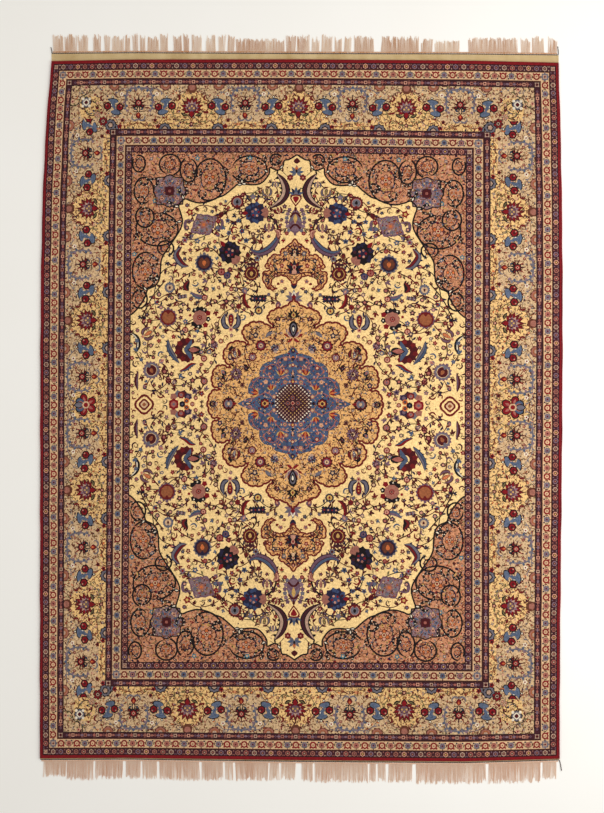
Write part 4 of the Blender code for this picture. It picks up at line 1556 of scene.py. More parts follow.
def clothMesh(name, quarter, levels, isBack=False):
    # the quarter turned into all four, with walls in painted shade and a plain far side
    places, triangles, colours = quarter
    edges, owners = outerEdges(triangles)
    loop = loopOf(edges)
    outline = [Vector(places[i]) for i in loop]
    _, net, inside = netOf(outline, [], [list(range(len(loop)))])
    far = np.array([[loop[i] for i in t] for t, o in zip(net, inside) if o])
    size = len(places)
    onAxis = (np.abs(places) < 1e-6)[edges].all(axis=1).any(axis=1)
    walls, shadedWallColours = [], []
    for level in range(len(levels) - 1):
        a, b = edges[~onAxis].T
        high, low = level * size, (level + 1) * size
        walls.append(np.column_stack([b + high, a + high, a + low]))
        walls.append(np.column_stack([b + high, a + low, b + low]))
        # the walls take the colour of their triangles a tenth darker, as painted shade on the sides, and no
        # strewn flowers
        shadedWallColours += [colours[owners[~onAxis]] * (0.9, 0.9, 0.9, 0.0)] * 2
    faces = np.vstack([triangles] + walls + [far[:, ::-1] + (len(levels) - 1) * size])
    farColour = np.tile(paintOf("dust", 1.0), (len(far), 1))
    paints = np.vstack([colours] + shadedWallColours + [farColour])
    isFace = np.zeros(len(faces), bool)
    isFace[: len(triangles)] = True
    drawn = np.tile(places, (len(levels), 1))
    level = np.repeat(np.arange(len(levels)), size)
    points, cells = [], []
    for signX, signY in ((1, 1), (-1, 1), (-1, -1), (1, -1)):
        points.append(np.column_stack([drawn * (signX, signY), level]))
        cells.append((faces if signX * signY > 0 else faces[:, ::-1]) + len(cells) * len(drawn))
    points, cells = np.vstack(points), np.vstack(cells)
    points[:, :2] = np.round(points[:, :2], 5) + 0.0
    unique, index = np.unique(points, axis=0, return_inverse=True)
    cells = index.reshape(-1)[cells]
    paints, isFace = np.tile(paints, (4, 1)), np.tile(isFace, 4)
    solid = (cells[:, 0] != cells[:, 1]) & (cells[:, 1] != cells[:, 2]) & (cells[:, 2] != cells[:, 0])
    cells, paints, isFace = cells[solid], paints[solid], isFace[solid]
    used, cells = np.unique(cells, return_inverse=True)
    unique, cells = unique[used], cells.reshape(-1, 3)
    place = wovenPlace(unique[:, :2])
    insets, heights = np.array(levels)[unique[:, 2].astype(int)].T
    edgeX = halfWidth - (pile["selvedge"] + levels[0][0]) / 10.0
    edgeY = halfLength - levels[0][0] / 10.0
    out = (levels[0][0] - insets) * mm
    place[:, 0] += np.sign(unique[:, 0]) * out * (np.abs(unique[:, 0]) > edgeX - 1e-3)
    place[:, 1] += np.sign(unique[:, 1]) * out * (np.abs(unique[:, 1]) > edgeY - 1e-3)
    if isBack:
        cells = cells[:, ::-1]
    mesh = bpy.data.meshes.new(name)
    mesh.from_pydata(np.column_stack([place, heights * mm]).tolist(), [], cells.tolist())
    shade = mesh.color_attributes.new("yarn", "FLOAT_COLOR", "CORNER")
    shade.data.foreach_set("color", paints.repeat(3, axis=0).astype(np.float32).ravel())
    # the bake map: nearly all of it for the drawn face, and one small corner for what is hidden
    shown, cornerStart, cornerShare = 0.98, 0.985, 0.014
    flat = place / np.array([2.0 * halfWidth, 2.0 * halfLength]) * 100.0 + 0.5
    corners = np.clip(flat[cells.ravel()] * shown, 0.0, shown)
    hidden = ~isFace.repeat(3)
    corners[hidden] = cornerStart + corners[hidden] * cornerShare
    mesh.uv_layers.new(name="OFBake").data.foreach_set("uv", corners.astype(np.float32).ravel())
    return mesh


def joined(name, mesh, material, smoothAngle=None):
    # a mesh as a piece of the scene, in one material
    piece = bpy.data.objects.new(name, mesh)
    bpy.context.scene.collection.objects.link(piece)
    piece.data.materials.clear()
    piece.data.materials.append(material)
    if smoothAngle:
        piece.data.shade_smooth()
        piece.data.set_sharp_from_angle(angle=math.radians(smoothAngle))
    return piece


class Wire:
    # a socket that does arithmetic: each operation adds its Math node

    def __init__(self, nodes, socket):
        self.nodes, self.socket = nodes, socket

    def math(self, operation, *others):
        values = {i + 1: other for i, other in enumerate(others)}
        return self.nodes.make("ShaderNodeMath", {0: self, **values}, operation=operation)

    def __add__(self, other):
        return self.math("ADD", other)

    def __sub__(self, other):
        return self.math("SUBTRACT", other)

    def __mul__(self, other):
        return self.math("MULTIPLY", other)

    def __truediv__(self, other):
        return self.math("DIVIDE", other)

    def __rsub__(self, other):
        return self.nodes.make("ShaderNodeMath", {0: other, 1: self}, operation="SUBTRACT")

    __radd__ = __add__
    __rmul__ = __mul__


class Nodes:
    # one node tree, of a material or of geometry

    def __init__(self, tree):
        self.tree = tree
        tree.nodes.clear()

    def feed(self, socket, value):
        if isinstance(value, Wire):
            self.tree.links.new(value.socket, socket)
        else:
            socket.default_value = value

    def make(self, kind, values=(), output=0, **settings):
        node = self.tree.nodes.new(kind)
        for name, value in settings.items():
            setattr(node, name, value)
        for name, value in dict(values).items():
            self.feed(node.inputs[name], value)
        return Wire(self, node.outputs[output])

    def beside(self, wire, output):
        # another output of the node that a wire comes from
        return Wire(self, wire.socket.node.outputs[output])

    def vector(self, operation, first, second):
        values = {0: first, "Scale" if operation == "SCALE" else 1: second}
        return self.make("ShaderNodeVectorMath", values, operation=operation)

    def combined(self, x=0.0, y=0.0, z=0.0):
        return self.make("ShaderNodeCombineXYZ", {0: x, 1: y, 2: z})

    def mixColour(self, factor, first, second, blend="MIX"):
        values = {0: factor, 6: first, 7: second}
        return self.make("ShaderNodeMix", values, 2, data_type="RGBA", blend_type=blend)

    def noise(self, vector, scale, detail=2.0, roughness=0.5):
        values = {"Vector": vector, "Scale": scale, "Detail": detail, "Roughness": roughness}
        return self.make("ShaderNodeTexNoise", values)

    def ranged(self, value, low, high, fromLow=0.3, fromHigh=0.7):
        return self.make("ShaderNodeMapRange", {0: value, 1: fromLow, 2: fromHigh, 3: low, 4: high})

    def chance(self, low, high, seed):
        kind, output = ("FLOAT_VECTOR", 0) if isinstance(low, tuple) else ("FLOAT", 1)
        values = {"Min": low, "Max": high, "Seed": seed}
        return self.make("FunctionNodeRandomValue", values, output, data_type=kind)

    def stored(self, name):
        return self.make("GeometryNodeInputNamedAttribute", {"Name": name}, data_type="FLOAT")

    def stepped(self, guide, length):
        # the edges of a guide as curves with their points in even steps
        path = self.make("GeometryNodeMeshToCurve", {0: guide})
        return self.make("GeometryNodeResampleCurve", {0: path, "Length": length}, mode="LENGTH")

    def circle(self, sides, radius):
        return self.make("GeometryNodeCurvePrimitiveCircle", {"Resolution": sides, "Radius": radius})

    def tube(self, path, sides, radius):
        values = {0: path, 1: self.circle(sides, radius), "Fill Caps": True}
        return self.make("GeometryNodeCurveToMesh", values)

    def moved(self, geometry, offset):
        return self.make("GeometryNodeSetPosition", {0: geometry, "Offset": offset})


# Knotted wool: fine knots with painted shade between them, streaks of uneven dye across the carpet, and a
# soft lie of the pile
wool = {
    "knot": (330.0, 300.0),  # knots in each metre across and along
    "fibre": 900.0,
    "abrash": 5.0,
    "mottle": 95.0,
    "roughness": (0.82, 0.96),
    "sheen": 0.12,
    "bump": 0.5,
    "bumpHeight": 1.0 * mm,
    "flowers": 68.0,  # cells in each metre, with a tiny flower in most of them
    "stems": 30.0,
    "flowerDyes": ("red", "olive", "wine", "slate", "navy", "crimson", "brown", "cream"),
}


spun = {"roughness": (0.8, 0.95), "sheen": 0.1, "bump": 0.6, "bumpHeight": 0.6 * mm}


def shaderOf(name):
    material = bpy.data.materials.new(name)
    material.use_nodes = True
    nodes = Nodes(material.node_tree)
    output = material.node_tree.nodes.new("ShaderNodeOutputMaterial")
    shader = material.node_tree.nodes.new("ShaderNodeBsdfPrincipled")
    material.node_tree.links.new(shader.outputs[0], output.inputs[0])
    return material, nodes, shader


def strewnFlowers(nodes, place, ground, share):
    # tiny flowers and thin stems over a ground, as many as its share asks for
    values = {"Vector": place, "Scale": wool["flowers"], "Randomness": 0.85}
    flowers = nodes.make("ShaderNodeTexVoronoi", values, "Distance", voronoi_dimensions="2D")
    pick = nodes.make("ShaderNodeSeparateColor", {0: nodes.beside(flowers, "Color")})
    luck = nodes.beside(pick, 1)
    petals = nodes.make("ShaderNodeValToRGB", {0: pick})
    ramp = petals.socket.node.color_ramp
    for i in range(len(ramp.elements), len(wool["flowerDyes"])):
        ramp.elements.new(0.5)
    for i, (stop, dye) in enumerate(zip(ramp.elements, wool["flowerDyes"])):
        stop.position, stop.color = i / 8.0, (*linear(dyes[dye]), 1.0)
    ramp.interpolation = "CONSTANT"
    reach = 0.24 + luck * 0.14
    isPetal = flowers.math("LESS_THAN", reach) * luck.math("LESS_THAN", share)
    isHeart = flowers.math("LESS_THAN", reach * 0.36) * isPetal
    warp = nodes.make("ShaderNodeTexNoise", {"Vector": place, "Scale": 26.0, "Detail": 1.0}, 1)
    bent = nodes.vector("ADD", place, nodes.vector("SCALE", warp, 0.05))
    values = {"Vector": bent, "Scale": wool["stems"]}
    stems = nodes.make("ShaderNodeTexVoronoi", values, voronoi_dimensions="2D", feature="DISTANCE_TO_EDGE")
    isStem = stems.math("LESS_THAN", 0.045) * share.math("GREATER_THAN", 0.4)
    found = nodes.mixColour(isStem, ground, (*linear(dyes["brown"]), 1.0))
    found = nodes.mixColour(isPetal, found, petals)
    return nodes.mixColour(isHeart, found, (*linear(dyes["gold"]), 1.0))


def woolMaterial(name):
    material, nodes, shader = shaderOf(name)
    place = nodes.make("ShaderNodeTexCoord", output=3)
    yarn = nodes.make("ShaderNodeAttribute", attribute_name="yarn")
    share = nodes.beside(yarn, 3)
    across, along = wool["knot"]
    x = nodes.make("ShaderNodeSeparateXYZ", {0: place})
    y = nodes.beside(x, 1)
    knotX = (x * across).math("FRACT") - 0.5
    knotY = (y * along).math("FRACT") - 0.5
    knotHigh = 1.0 - (knotX * knotX + knotY * knotY) * 2.0
    column, row = (x * across).math("FLOOR"), (y * along).math("FLOOR")
    cell = nodes.combined(column, row)
    knot = nodes.combined((column + 0.5) / across, (row + 0.5) / along)
    knot = nodes.make("ShaderNodeVectorMath", {0: knot}, operation="ABSOLUTE")
    perKnot = nodes.make("ShaderNodeTexWhiteNoise", {0: cell}, noise_dimensions="2D")
    fibre = nodes.noise(place, wool["fibre"], 3.0, 0.6)
    streaks = nodes.noise(nodes.vector("MULTIPLY", place, (0.6, wool["abrash"], 1.0)), 3.0, 3.0, 0.55)
    patches = nodes.noise(place, 2.3, 2.0, 0.5)
    mottle = nodes.noise(place, wool["mottle"], 2.0, 0.6)
    dyed = strewnFlowers(nodes, knot, yarn, share)
    light = nodes.ranged(perKnot, 0.84, 1.14, 0.0, 1.0) * nodes.ranged(fibre, 0.92, 1.08)
    light = light * nodes.ranged(streaks, 0.93, 1.06) * nodes.ranged(patches, 0.95, 1.05)
    # each knot is painted darker towards its edges, as painted shade between the knots; the other factors are
    # random tone of dye and fibre
    light = light * nodes.ranged(knotHigh, 0.9, 1.03, 0.0, 1.0) * nodes.ranged(mottle, 0.76, 1.24)
    grey = nodes.make("ShaderNodeCombineColor", {0: light, 1: light, 2: light})
    nodes.feed(shader.inputs["Base Color"], nodes.mixColour(1.0, dyed, grey, "MULTIPLY"))
    dressShader(nodes, shader, wool, fibre, knotHigh * 0.6 + fibre * 0.5)
    shader.inputs["Sheen Roughness"].default_value = 0.5
    return material


def dressShader(nodes, shader, fibres, grain, height):
    # the roughness, sheen and bump of fibres
    nodes.feed(shader.inputs["Roughness"], nodes.ranged(grain, *fibres["roughness"]))
    shader.inputs["Sheen Weight"].default_value = fibres["sheen"]
    shader.inputs["Specular IOR Level"].default_value = 0.2
    values = {"Strength": fibres["bump"], "Distance": fibres["bumpHeight"], "Height": height}
    nodes.feed(shader.inputs["Normal"], nodes.make("ShaderNodeBump", values))


def yarnMaterial(name, dyeLow, dyeHigh, grain, toneShare=0.25):
    # spun yarn whose tone drifts along and between its strands
    material, nodes, shader = shaderOf(name)
    place = nodes.make("ShaderNodeTexCoord", output=3)
    tone = nodes.make("ShaderNodeAttribute", output=2, attribute_name="tone")
    drift = nodes.noise(nodes.vector("MULTIPLY", place, (1.0, 0.5, 1.0)), 9.0, 3.0, 0.6)
    fine = nodes.noise(place, grain, 2.0, 0.6)
    share = nodes.ranged(drift, 0.0, 0.6) + nodes.ranged(fine, 0.0, 0.3) + tone * toneShare - toneShare * 0.5
    low, high = (*linear(dyeLow), 1.0), (*linear(dyeHigh), 1.0)
    nodes.feed(shader.inputs["Base Color"], nodes.mixColour(share.math("MINIMUM", 1.0), low, high))
    dressShader(nodes, shader, spun, fine, fine)
    return material


def makePile():
    woolPile = woolMaterial("woolPile")
    side = halfWidth - (pile["selvedge"] + pile["edgeLevels"][0][0]) / 10.0
    end = halfLength - pile["edgeLevels"][0][0] / 10.0
    guards, borders, inner = drawOuterGuards(), drawBorder(), drawInnerGuards()
    ground, edge, medallion = drawField()
    reachX, reachY = field["reach"]

    def ring(outer, innerInset):
        outline = bandOutline(outer, innerInset)
        outline[:, 0] = np.minimum(outline[:, 0], side)
        outline[:, 1] = np.minimum(outline[:, 1], end)
        return outline

    plain = pile["plainLevels"]
    parts = (
        ("pileOuterGuards", ring(0.0, bands["nearDark"][1]), guards, pile["edgeLevels"]),
        ("pileMainBorder", ring(*bands["mainBorder"]), borders, plain),
        ("pileInnerGuards", ring(bands["innerDark"][0], bands["fieldDark"][1]), inner, plain),
        ("pileField", np.vstack([[(reachX, 0.0)], edge[::-1], medallion]), ground, plain),
        ("pileMedallion", closed(medallion)[::-1], ground, plain),
        ("pileCorners", np.vstack([edge, [(reachX, reachY), (0.0, reachY)]]), ground, plain),
    )
    pieces = []
    for name, region, drawing, levels in parts:
        quarter = cutQuarter(region, drawing, drawing.shapes)
        pieces.append(joined(name, clothMesh(name, quarter, levels), woolPile))
        print("woven", name, len(pieces[-1].data.polygons), "triangles,", len(drawing.shapes), "shapes")
    shown = (
        (guards, bandOutline(0.0, bands["nearDark"][1])),
        (borders, bandOutline(*bands["mainBorder"])),
        (inner, bandOutline(bands["innerDark"][0], bands["fieldDark"][1])),
        (ground, boxOutline(reachX, reachY)),
    )
    return makeBack(shown, boxOutline(side, end), woolPile), pieces


def boxOutline(right, top):
    return np.array([(0, 0), (right, 0), (right, top), (0, top)], float)


def makeBack(shown, rim, material):
    # the back shows the larger shapes again
    shapes = []
    for drawing, outline in shown:
        shapes.append((outline, drawing.ground, 0.95))
        shapes += [shape for shape in drawing.shapes if abs(areaOf(shape[0])) > pile["backDetail"]]
    quarter = cutQuarter(rim, Drawing("crimson"), shapes)
    mesh = clothMesh("pileBack", quarter, pile["backLevels"], isBack=True)
    foundation = joined("pileBack", mesh, material)
    print("woven pileBack", len(mesh.polygons), "triangles")
    return foundation


def endLine(end, xs, out):
    # points in metres beyond an end of the pile, at drawn places across it in mm
    sign = 1.0 if end == "far" else -1.0
    xs = np.asarray(xs, float)
    place = wovenPlace(np.column_stack([xs / 10.0, np.full(len(xs), sign * halfLength)]))
    place[:, 1] += sign * np.broadcast_to(out, len(xs)) * mm
    return place


# Cords, webs and fringes, in mm. Widths of the webs are given at each drawn line across
trim = {
    "gap": 0.3,
    "webWidth": {"far": (37.0, 32.0, 27.0, 31.0, 37.0), "near": (4.0, 4.0, 4.0, 4.0, 4.0)},
    "webEnds": (-1311.0, 1311.0),
    "weftPitch": 1.7,
    "twineEnds": (-1309.0, 1309.0),
    "twineWidth": 4.4,
    "headingEnds": (-1300.0, 1300.0),
    "headingWidth": 8.0,
    "torn": {"far": 0.4, "near": 0.22},  # the most of a strand's length that is lost
    "strandPitch": {"far": 2.9, "near": 2.5},
    "looseEnds": {
        "far_left": ((0.0, 8.0), (2.0, 18.0), (5.0, 30.0)),
        "far_right": ((1.0, 9.0), (0.0, 24.0), (-2.0, 42.0)),
        "near_left": (),
        "near_right": ((4.0, 10.0), (7.0, 24.0), (12.0, 54.0)),
    },
    "selvedgeWidth": 7.0,
    "selvedgeHeight": 8.6,
}


def webOut(end, xs):
    return np.interp(xs, np.array(loom["drawnX"]) * 10.0, trim["webWidth"][end])


def lineObject(name, paths, attributes=None):
    # polylines as a mesh of edges, with one list of numbers for each attribute
    points, edges = [], []
    for path in paths:
        start = len(points)
        points += [tuple(point) for point in path]
        edges += [(i, i + 1) for i in range(start, len(points) - 1)]
    mesh = bpy.data.meshes.new(name)
    mesh.from_pydata(points, edges, [])
    for label, values in (attributes or {}).items():
        mesh.attributes.new(label, "FLOAT", "POINT").data.foreach_set("value", np.array(values, np.float32))
    guide = bpy.data.objects.new(name, mesh)
    bpy.context.scene.collection.objects.link(guide)
    return guide


def newTree(name, sizes):
    # a geometry tree with one named input for each size
    tree = bpy.data.node_groups.new(name, "GeometryNodeTree")
    tree.interface.new_socket("Geometry", in_out="INPUT", socket_type="NodeSocketGeometry")
    for label, value in sizes.items():
        kind = "NodeSocketInt" if isinstance(value, int) else "NodeSocketFloat"
        tree.interface.new_socket(label, in_out="INPUT", socket_type=kind).default_value = value
    tree.interface.new_socket("Material", in_out="INPUT", socket_type="NodeSocketMaterial")
    tree.interface.new_socket("Geometry", in_out="OUTPUT", socket_type="NodeSocketGeometry")
    nodes = Nodes(tree)
    entry = tree.nodes.new("NodeGroupInput")
    ports = {socket.name: Wire(nodes, socket) for socket in entry.outputs if socket.name}
    return tree, nodes, ports


def finishTree(nodes, ports, geometry):
    real = nodes.make("GeometryNodeRealizeInstances", {0: geometry})
    dressed = nodes.make("GeometryNodeSetMaterial", {0: real, "Material": ports["Material"]})
    leave = nodes.tree.nodes.new("NodeGroupOutput")
    nodes.tree.links.new(dressed.socket, leave.inputs[0])


def grown(name, guide, tree, sizes, material, smoothAngle=None):
    # the tree's result on a guide as a plain mesh
    modifier = guide.modifiers.new("grow", "NODES")
    modifier.node_group = tree
    values = {**sizes, "Material": material}
    for item in tree.interface.items_tree:
        if item.in_out == "INPUT" and item.name in values:
            modifier[item.identifier] = values[item.name]
    depsgraph = bpy.context.evaluated_depsgraph_get()
    mesh = bpy.data.meshes.new_from_object(guide.evaluated_get(depsgraph))
    guide.modifiers.clear()
    bpy.data.objects.remove(guide)
    mesh.name = name
    piece = joined(name, mesh, material, smoothAngle)
    print("grown", name, len(mesh.polygons), "faces")
    return piece


def wrapTree():
    # slanting wraps of yarn round a cord
    tree, nodes, ports = newTree("overcastWraps", {
        "Pitch": 0.0066, "Yarn Radius": 0.0015, "Half Width": 0.0029, "Half Height": 0.0037, "Slant": 0.24,
        "Seed": 4,
    })
    path = nodes.stepped(ports["Geometry"], ports["Pitch"])
    ring = nodes.circle(7, 1.0)
    size = nodes.combined(ports["Half Width"], ports["Half Height"], 1.0)
    ring = nodes.make("GeometryNodeTransform", {0: ring, "Scale": size})
    wrap = nodes.make("GeometryNodeCurveToMesh", {0: ring, 1: nodes.circle(3, ports["Yarn Radius"])})
    tangent = nodes.make("GeometryNodeInputTangent")
    facing = nodes.make("FunctionNodeAlignRotationToVector", {"Vector": tangent}, axis="Z")
    values = {"Rotation": facing, "Vector": (0.0, 0.0, 1.0)}
    upright = nodes.make("FunctionNodeAlignRotationToVector", values, axis="Y", pivot_axis="Z")
    jitter = nodes.chance(0.85, 1.15, ports["Seed"])
    lean = nodes.make("FunctionNodeEulerToRotation", {0: nodes.combined(0.0, ports["Slant"] * jitter)})
    leaning = nodes.make("FunctionNodeRotateRotation", {0: upright, 1: lean}, rotation_space="LOCAL")
    wraps = nodes.make("GeometryNodeInstanceOnPoints", {0: path, "Instance": wrap, "Rotation": leaning})
    finishTree(nodes, ports, wraps)
    return tree


def twineTree():
    # two plies twined round each other along a path
    tree, nodes, ports = newTree("twinedYarn", {
        "Step": 0.0034, "Ply Radius": 0.0012, "Offset": 0.001, "Turn Length": 0.018,
    })
    path = nodes.stepped(ports["Geometry"], ports["Step"])
    along = nodes.make("GeometryNodeSplineParameter", output=1)
    side = nodes.vector("CROSS_PRODUCT", nodes.make("GeometryNodeInputTangent"), (0.0, 0.0, 1.0))
    plies = []
    for start in (0.0, math.pi):
        turn = along * 2.0 * math.pi / ports["Turn Length"] + start
        outward = nodes.vector("SCALE", side, turn.math("COSINE") * ports["Offset"])
        upward = nodes.combined(z=turn.math("SINE") * ports["Offset"])
        ply = nodes.moved(path, nodes.vector("ADD", outward, upward))
        plies.append(nodes.tube(ply, 5, ports["Ply Radius"]))
    whole = nodes.make("GeometryNodeJoinGeometry")
    for ply in plies:
        nodes.tree.links.new(ply.socket, whole.socket.node.inputs[0])
    finishTree(nodes, ports, whole)
    return tree


def weftTree():
    # lines of weft with a slight wander
    tree, nodes, ports = newTree("weftLines", {
        "Step": 0.022, "Yarn Radius": 0.00085, "Wander": 0.0006, "Seed": 9,
    })
    path = nodes.stepped(ports["Geometry"], ports["Step"])
    drift = nodes.chance((-1.0, -1.0, -0.4), (1.0, 1.0, 0.4), ports["Seed"])
    path = nodes.moved(path, nodes.vector("SCALE", drift, ports["Wander"]))
    finishTree(nodes, ports, nodes.tube(path, 4, ports["Yarn Radius"]))
    return tree


def knotTree():
    # a row of small round knots
    tree, nodes, ports = newTree("headingKnots", {
        "Pitch": 0.0076, "Width": 0.0042, "Depth": 0.0046, "Height": 0.0016, "Seed": 3,
    })
    path = nodes.stepped(ports["Geometry"], ports["Pitch"])
    ball = nodes.make("GeometryNodeMeshUVSphere", {"Segments": 7, "Rings": 4, "Radius": 1.0})
    size = nodes.combined(ports["Width"], ports["Depth"], ports["Height"])
    ball = nodes.make("GeometryNodeTransform", {0: ball, "Scale": size})
    turn = nodes.chance((-0.1, -0.1, -0.5), (0.1, 0.1, 0.5), ports["Seed"])
    values = {0: path, "Instance": ball, "Rotation": turn, "Scale": nodes.chance(0.8, 1.0, ports["Seed"])}
    finishTree(nodes, ports, nodes.make("GeometryNodeInstanceOnPoints", values))
    return tree


def strandTree():
    # loose warp ends that lie on the floor, one at each step along the heading
    tree, nodes, ports = newTree("fringeStrands", {
        "Pitch": 0.0024, "Strand Radius": 0.0009, "Out": 1.0, "Wander": 0.004, "Uneven": 0.16, "Seed": 11,
    })
    path = nodes.stepped(ports["Geometry"], ports["Pitch"])
    reach, lean = nodes.stored("reach"), nodes.stored("lean")
    uneven = nodes.chance(0.0, 1.0, ports["Seed"])
    length = reach * (1.0 - uneven * uneven * ports["Uneven"])
    straw = nodes.make("GeometryNodeCurvePrimitiveLine", {"Start": (0.0, 0.0, 0.0), "End": (0.0, 1.0, 0.0)})
    straw = nodes.make("GeometryNodeResampleCurve", {0: straw, "Count": 6})
    size = nodes.combined(1.0, length * ports["Out"], 1.0)
    angle = nodes.combined(z=lean)
    lay = nodes.chance(0.0, 1.0, ports["Seed"] + 5)
    values = {0: path, "Name": "tone", "Value": nodes.stored("paleness") * 0.65 + lay * 0.35}
    kept = nodes.make("GeometryNodeStoreNamedAttribute", values, data_type="FLOAT", domain="POINT")
    values = {0: kept, "Instance": straw, "Rotation": angle, "Scale": size}
    strands = nodes.make("GeometryNodeInstanceOnPoints", values)
    strands = nodes.make("GeometryNodeRealizeInstances", {0: strands})
    share = nodes.make("GeometryNodeSplineParameter")
    tone = nodes.stored("tone")
    place = nodes.make("GeometryNodeInputPosition")
    at = nodes.vector("MULTIPLY", place, nodes.combined(60.0, 16.0, 1.0))
    at = nodes.vector("ADD", at, nodes.combined(z=tone * 37.0))
    swirl = nodes.make("ShaderNodeTexNoise", {"Vector": at, "Scale": 1.0, "Detail": 1.0})
    aside = (swirl - 0.5) * 2.0 * share * ports["Wander"]
    rise = (0.0012 + tone * 0.0011) * (1.0 - share * 0.5) - 0.0012
    strands = nodes.moved(strands, nodes.combined(aside, z=rise))
    strands = nodes.make("GeometryNodeSetCurveRadius", {0: strands, "Radius": 1.0 - share * 0.45})
    finishTree(nodes, ports, nodes.tube(strands, 3, ports["Strand Radius"]))
    return tree


# Fringe clumps of each end, as places across it in mm, and how far their tips splay
clumps = {
    "far": """start stop length splay
        -1240 -1190 88 .98
        -1183 -1124 90 .92
        -1114 -1068 86 1.04
        -1040 -1004 88 1
        -983 -958 84 1
        -947 -888 78 .96
        -882 -856 88 1.04
        -842 -817 90 .96
        -806 -780 86 1
        -770 -712 76 1
        -705 -668 88 1
        -637 -597 86 .96
        -588 -562 90 1
        -547 -499 86 .98
        -477 -428 84 1.02
        -413 -383 86 .96
        -369 -336 86 1.04
        -326 -84 68 .99
        -74 -30 92 1
        -21 41 88 1
        52 90 80 .96
        101 154 90 .98
        168 203 88 1.02
        214 248 80 1
        266 364 84 .99
        399 588 82 1
        600 655 70 .96
        670 790 60 1
        838 1083 78 .99
        1101 1145 76 1.02
        1155 1216 92 .97
        1235 1279 90 .98""",
    "near": """start stop length splay
        -1288 -1176 80 .97
        -1173 -1040 98 .99
        -1030 -892 94 .99
        -878 -804 92 .98
        -796 -722 94 .98
        -710 -512 98 1
        -498 -392 96 .99
        -382 -342 94 1
        -331 -164 96 1
        -156 -112 92 .98
        -100 -27 88 .97
        2 58 96 .98
        68 333 100 1
        343 374 94 1
        383 422 96 .98
        438 556 96 .99
        574 922 102 1
        938 1198 104 .99
        1208 1277 88 .97""",
}


def sweepMesh(name, rings):
    # a closed solid from a row of rings of points
    around = len(rings[0])
    points = [tuple(point) for ring in rings for point in ring]
    faces = []
    for i in range(len(rings) - 1):
        for k in range(around):
            a, b = i * around + k, i * around + (k + 1) % around
            faces.append((a, a + around, b + around, b))
    faces.append(tuple(range(around)))
    last = (len(rings) - 1) * around
    faces.append(tuple(last + k for k in reversed(range(around))))
    mesh = bpy.data.meshes.new(name)
    mesh.from_pydata(points, [], faces)
    return mesh


def selvedgePath(side, count=240):
    ys = np.linspace(-halfLength, halfLength, count)
    place = wovenPlace(np.column_stack([np.full(count, side * halfWidth), ys]))
    place[:, 0] -= side * trim["selvedgeWidth"] / 2.0 * mm
    return place


def makeSelvedges():
    wrapWool = yarnMaterial("overcastWool", (104, 12, 26), (176, 34, 46), 700.0)
    tree = wrapTree()
    pieces = []
    height = trim["selvedgeHeight"] * mm
    for side, name in ((-1, "sideCordLeft"), (1, "sideCordRight")):
        path = selvedgePath(side)
        middle = np.column_stack([path, np.full(len(path), height / 2.0)])
        middle[0, 1] += 0.003
        middle[-1, 1] -= 0.003
        wraps = grown(name, lineObject(name + "Guide", [middle]), tree, {"Seed": 4 + side}, wrapWool, 40)
        half, top = trim["selvedgeWidth"] * mm / 2.0, height
        section = ((-0.7, 0.04), (0.7, 0.04), (0.86, 0.5), (0.6, 0.86), (-0.6, 0.86), (-0.86, 0.5))
        rings = [[(x + out * half, y, z * top) for out, z in section] for x, y in path]
        core = joined(name + "Core", sweepMesh(name + "Core", rings[::2] + [rings[-1]]), wrapWool)
        pieces.append((wraps, core, "selvedge_left" if side < 0 else "selvedge_right"))
    return pieces


def makeWeb(end, tree, cotton):
    xs = np.linspace(*trim["webEnds"], 66)
    rows = max(2, round(np.mean(trim["webWidth"][end]) / trim["weftPitch"]))
    paths = []
    for row in range(rows):
        out = trim["gap"] + webOut(end, xs) * (row + 0.5) / rows
        line = endLine(end, xs, out)
        paths.append(np.column_stack([line, np.full(len(xs), (1.9 + 0.25 * (row % 2)) * mm)]))
    name = "web" + end.capitalize()
    guide = lineObject(name + "Guide", paths)
    wefts = grown(name, guide, tree, {"Seed": 5 if end == "far" else 6}, cotton, 60)
    low = endLine(end, xs, trim["gap"])
    high = endLine(end, xs, trim["gap"] + webOut(end, xs))
    rings = [[(*a, 0.0), (*b, 0.0), (*b, 2.0 * mm), (*a, 2.0 * mm)] for a, b in zip(low, high)]
    if end == "near":
        rings = [ring[::-1] for ring in rings]
    warp = joined(name + "Warps", sweepMesh(name + "Warps", rings), cotton)
    return wefts, warp


def makeTwine(end, tree, yarn):
    xs = np.linspace(*trim["twineEnds"], 90)
    out = 2.0 * trim["gap"] + webOut(end, xs) + trim["twineWidth"] / 2.0
    line = endLine(end, xs, out)
    sign = 1.0 if end == "far" else -1.0
    ends = []
    for side, corner in ((-1.0, line[0]), (1.0, line[-1])):
        steps = trim["looseEnds"][end + ("_left" if side < 0 else "_right")]
        loose = [(corner[0] + side * x * mm, corner[1] + sign * y * mm) for x, y in steps]
        ends.append(loose)
    path = np.array(ends[0][::-1] + [tuple(p) for p in line] + ends[1])
    path = np.column_stack([path, np.full(len(path), 2.05 * mm)])
    name = "twine" + end.capitalize()
    return grown(name, lineObject(name + "Guide", [path]), tree, {}, yarn, 60)


def headingLine(end, startX, stopX, out, count):
    # a line along the heading between two woven places, in metres
    drawn = np.linspace(*trim["webEnds"], 400)
    line = endLine(end, drawn, webOut(end, drawn) + 3.0 * trim["gap"] + trim["twineWidth"] + out)
    xs = np.linspace(startX, stopX, count) * mm
    return np.column_stack([xs, np.interp(xs, line[:, 0], line[:, 1])])


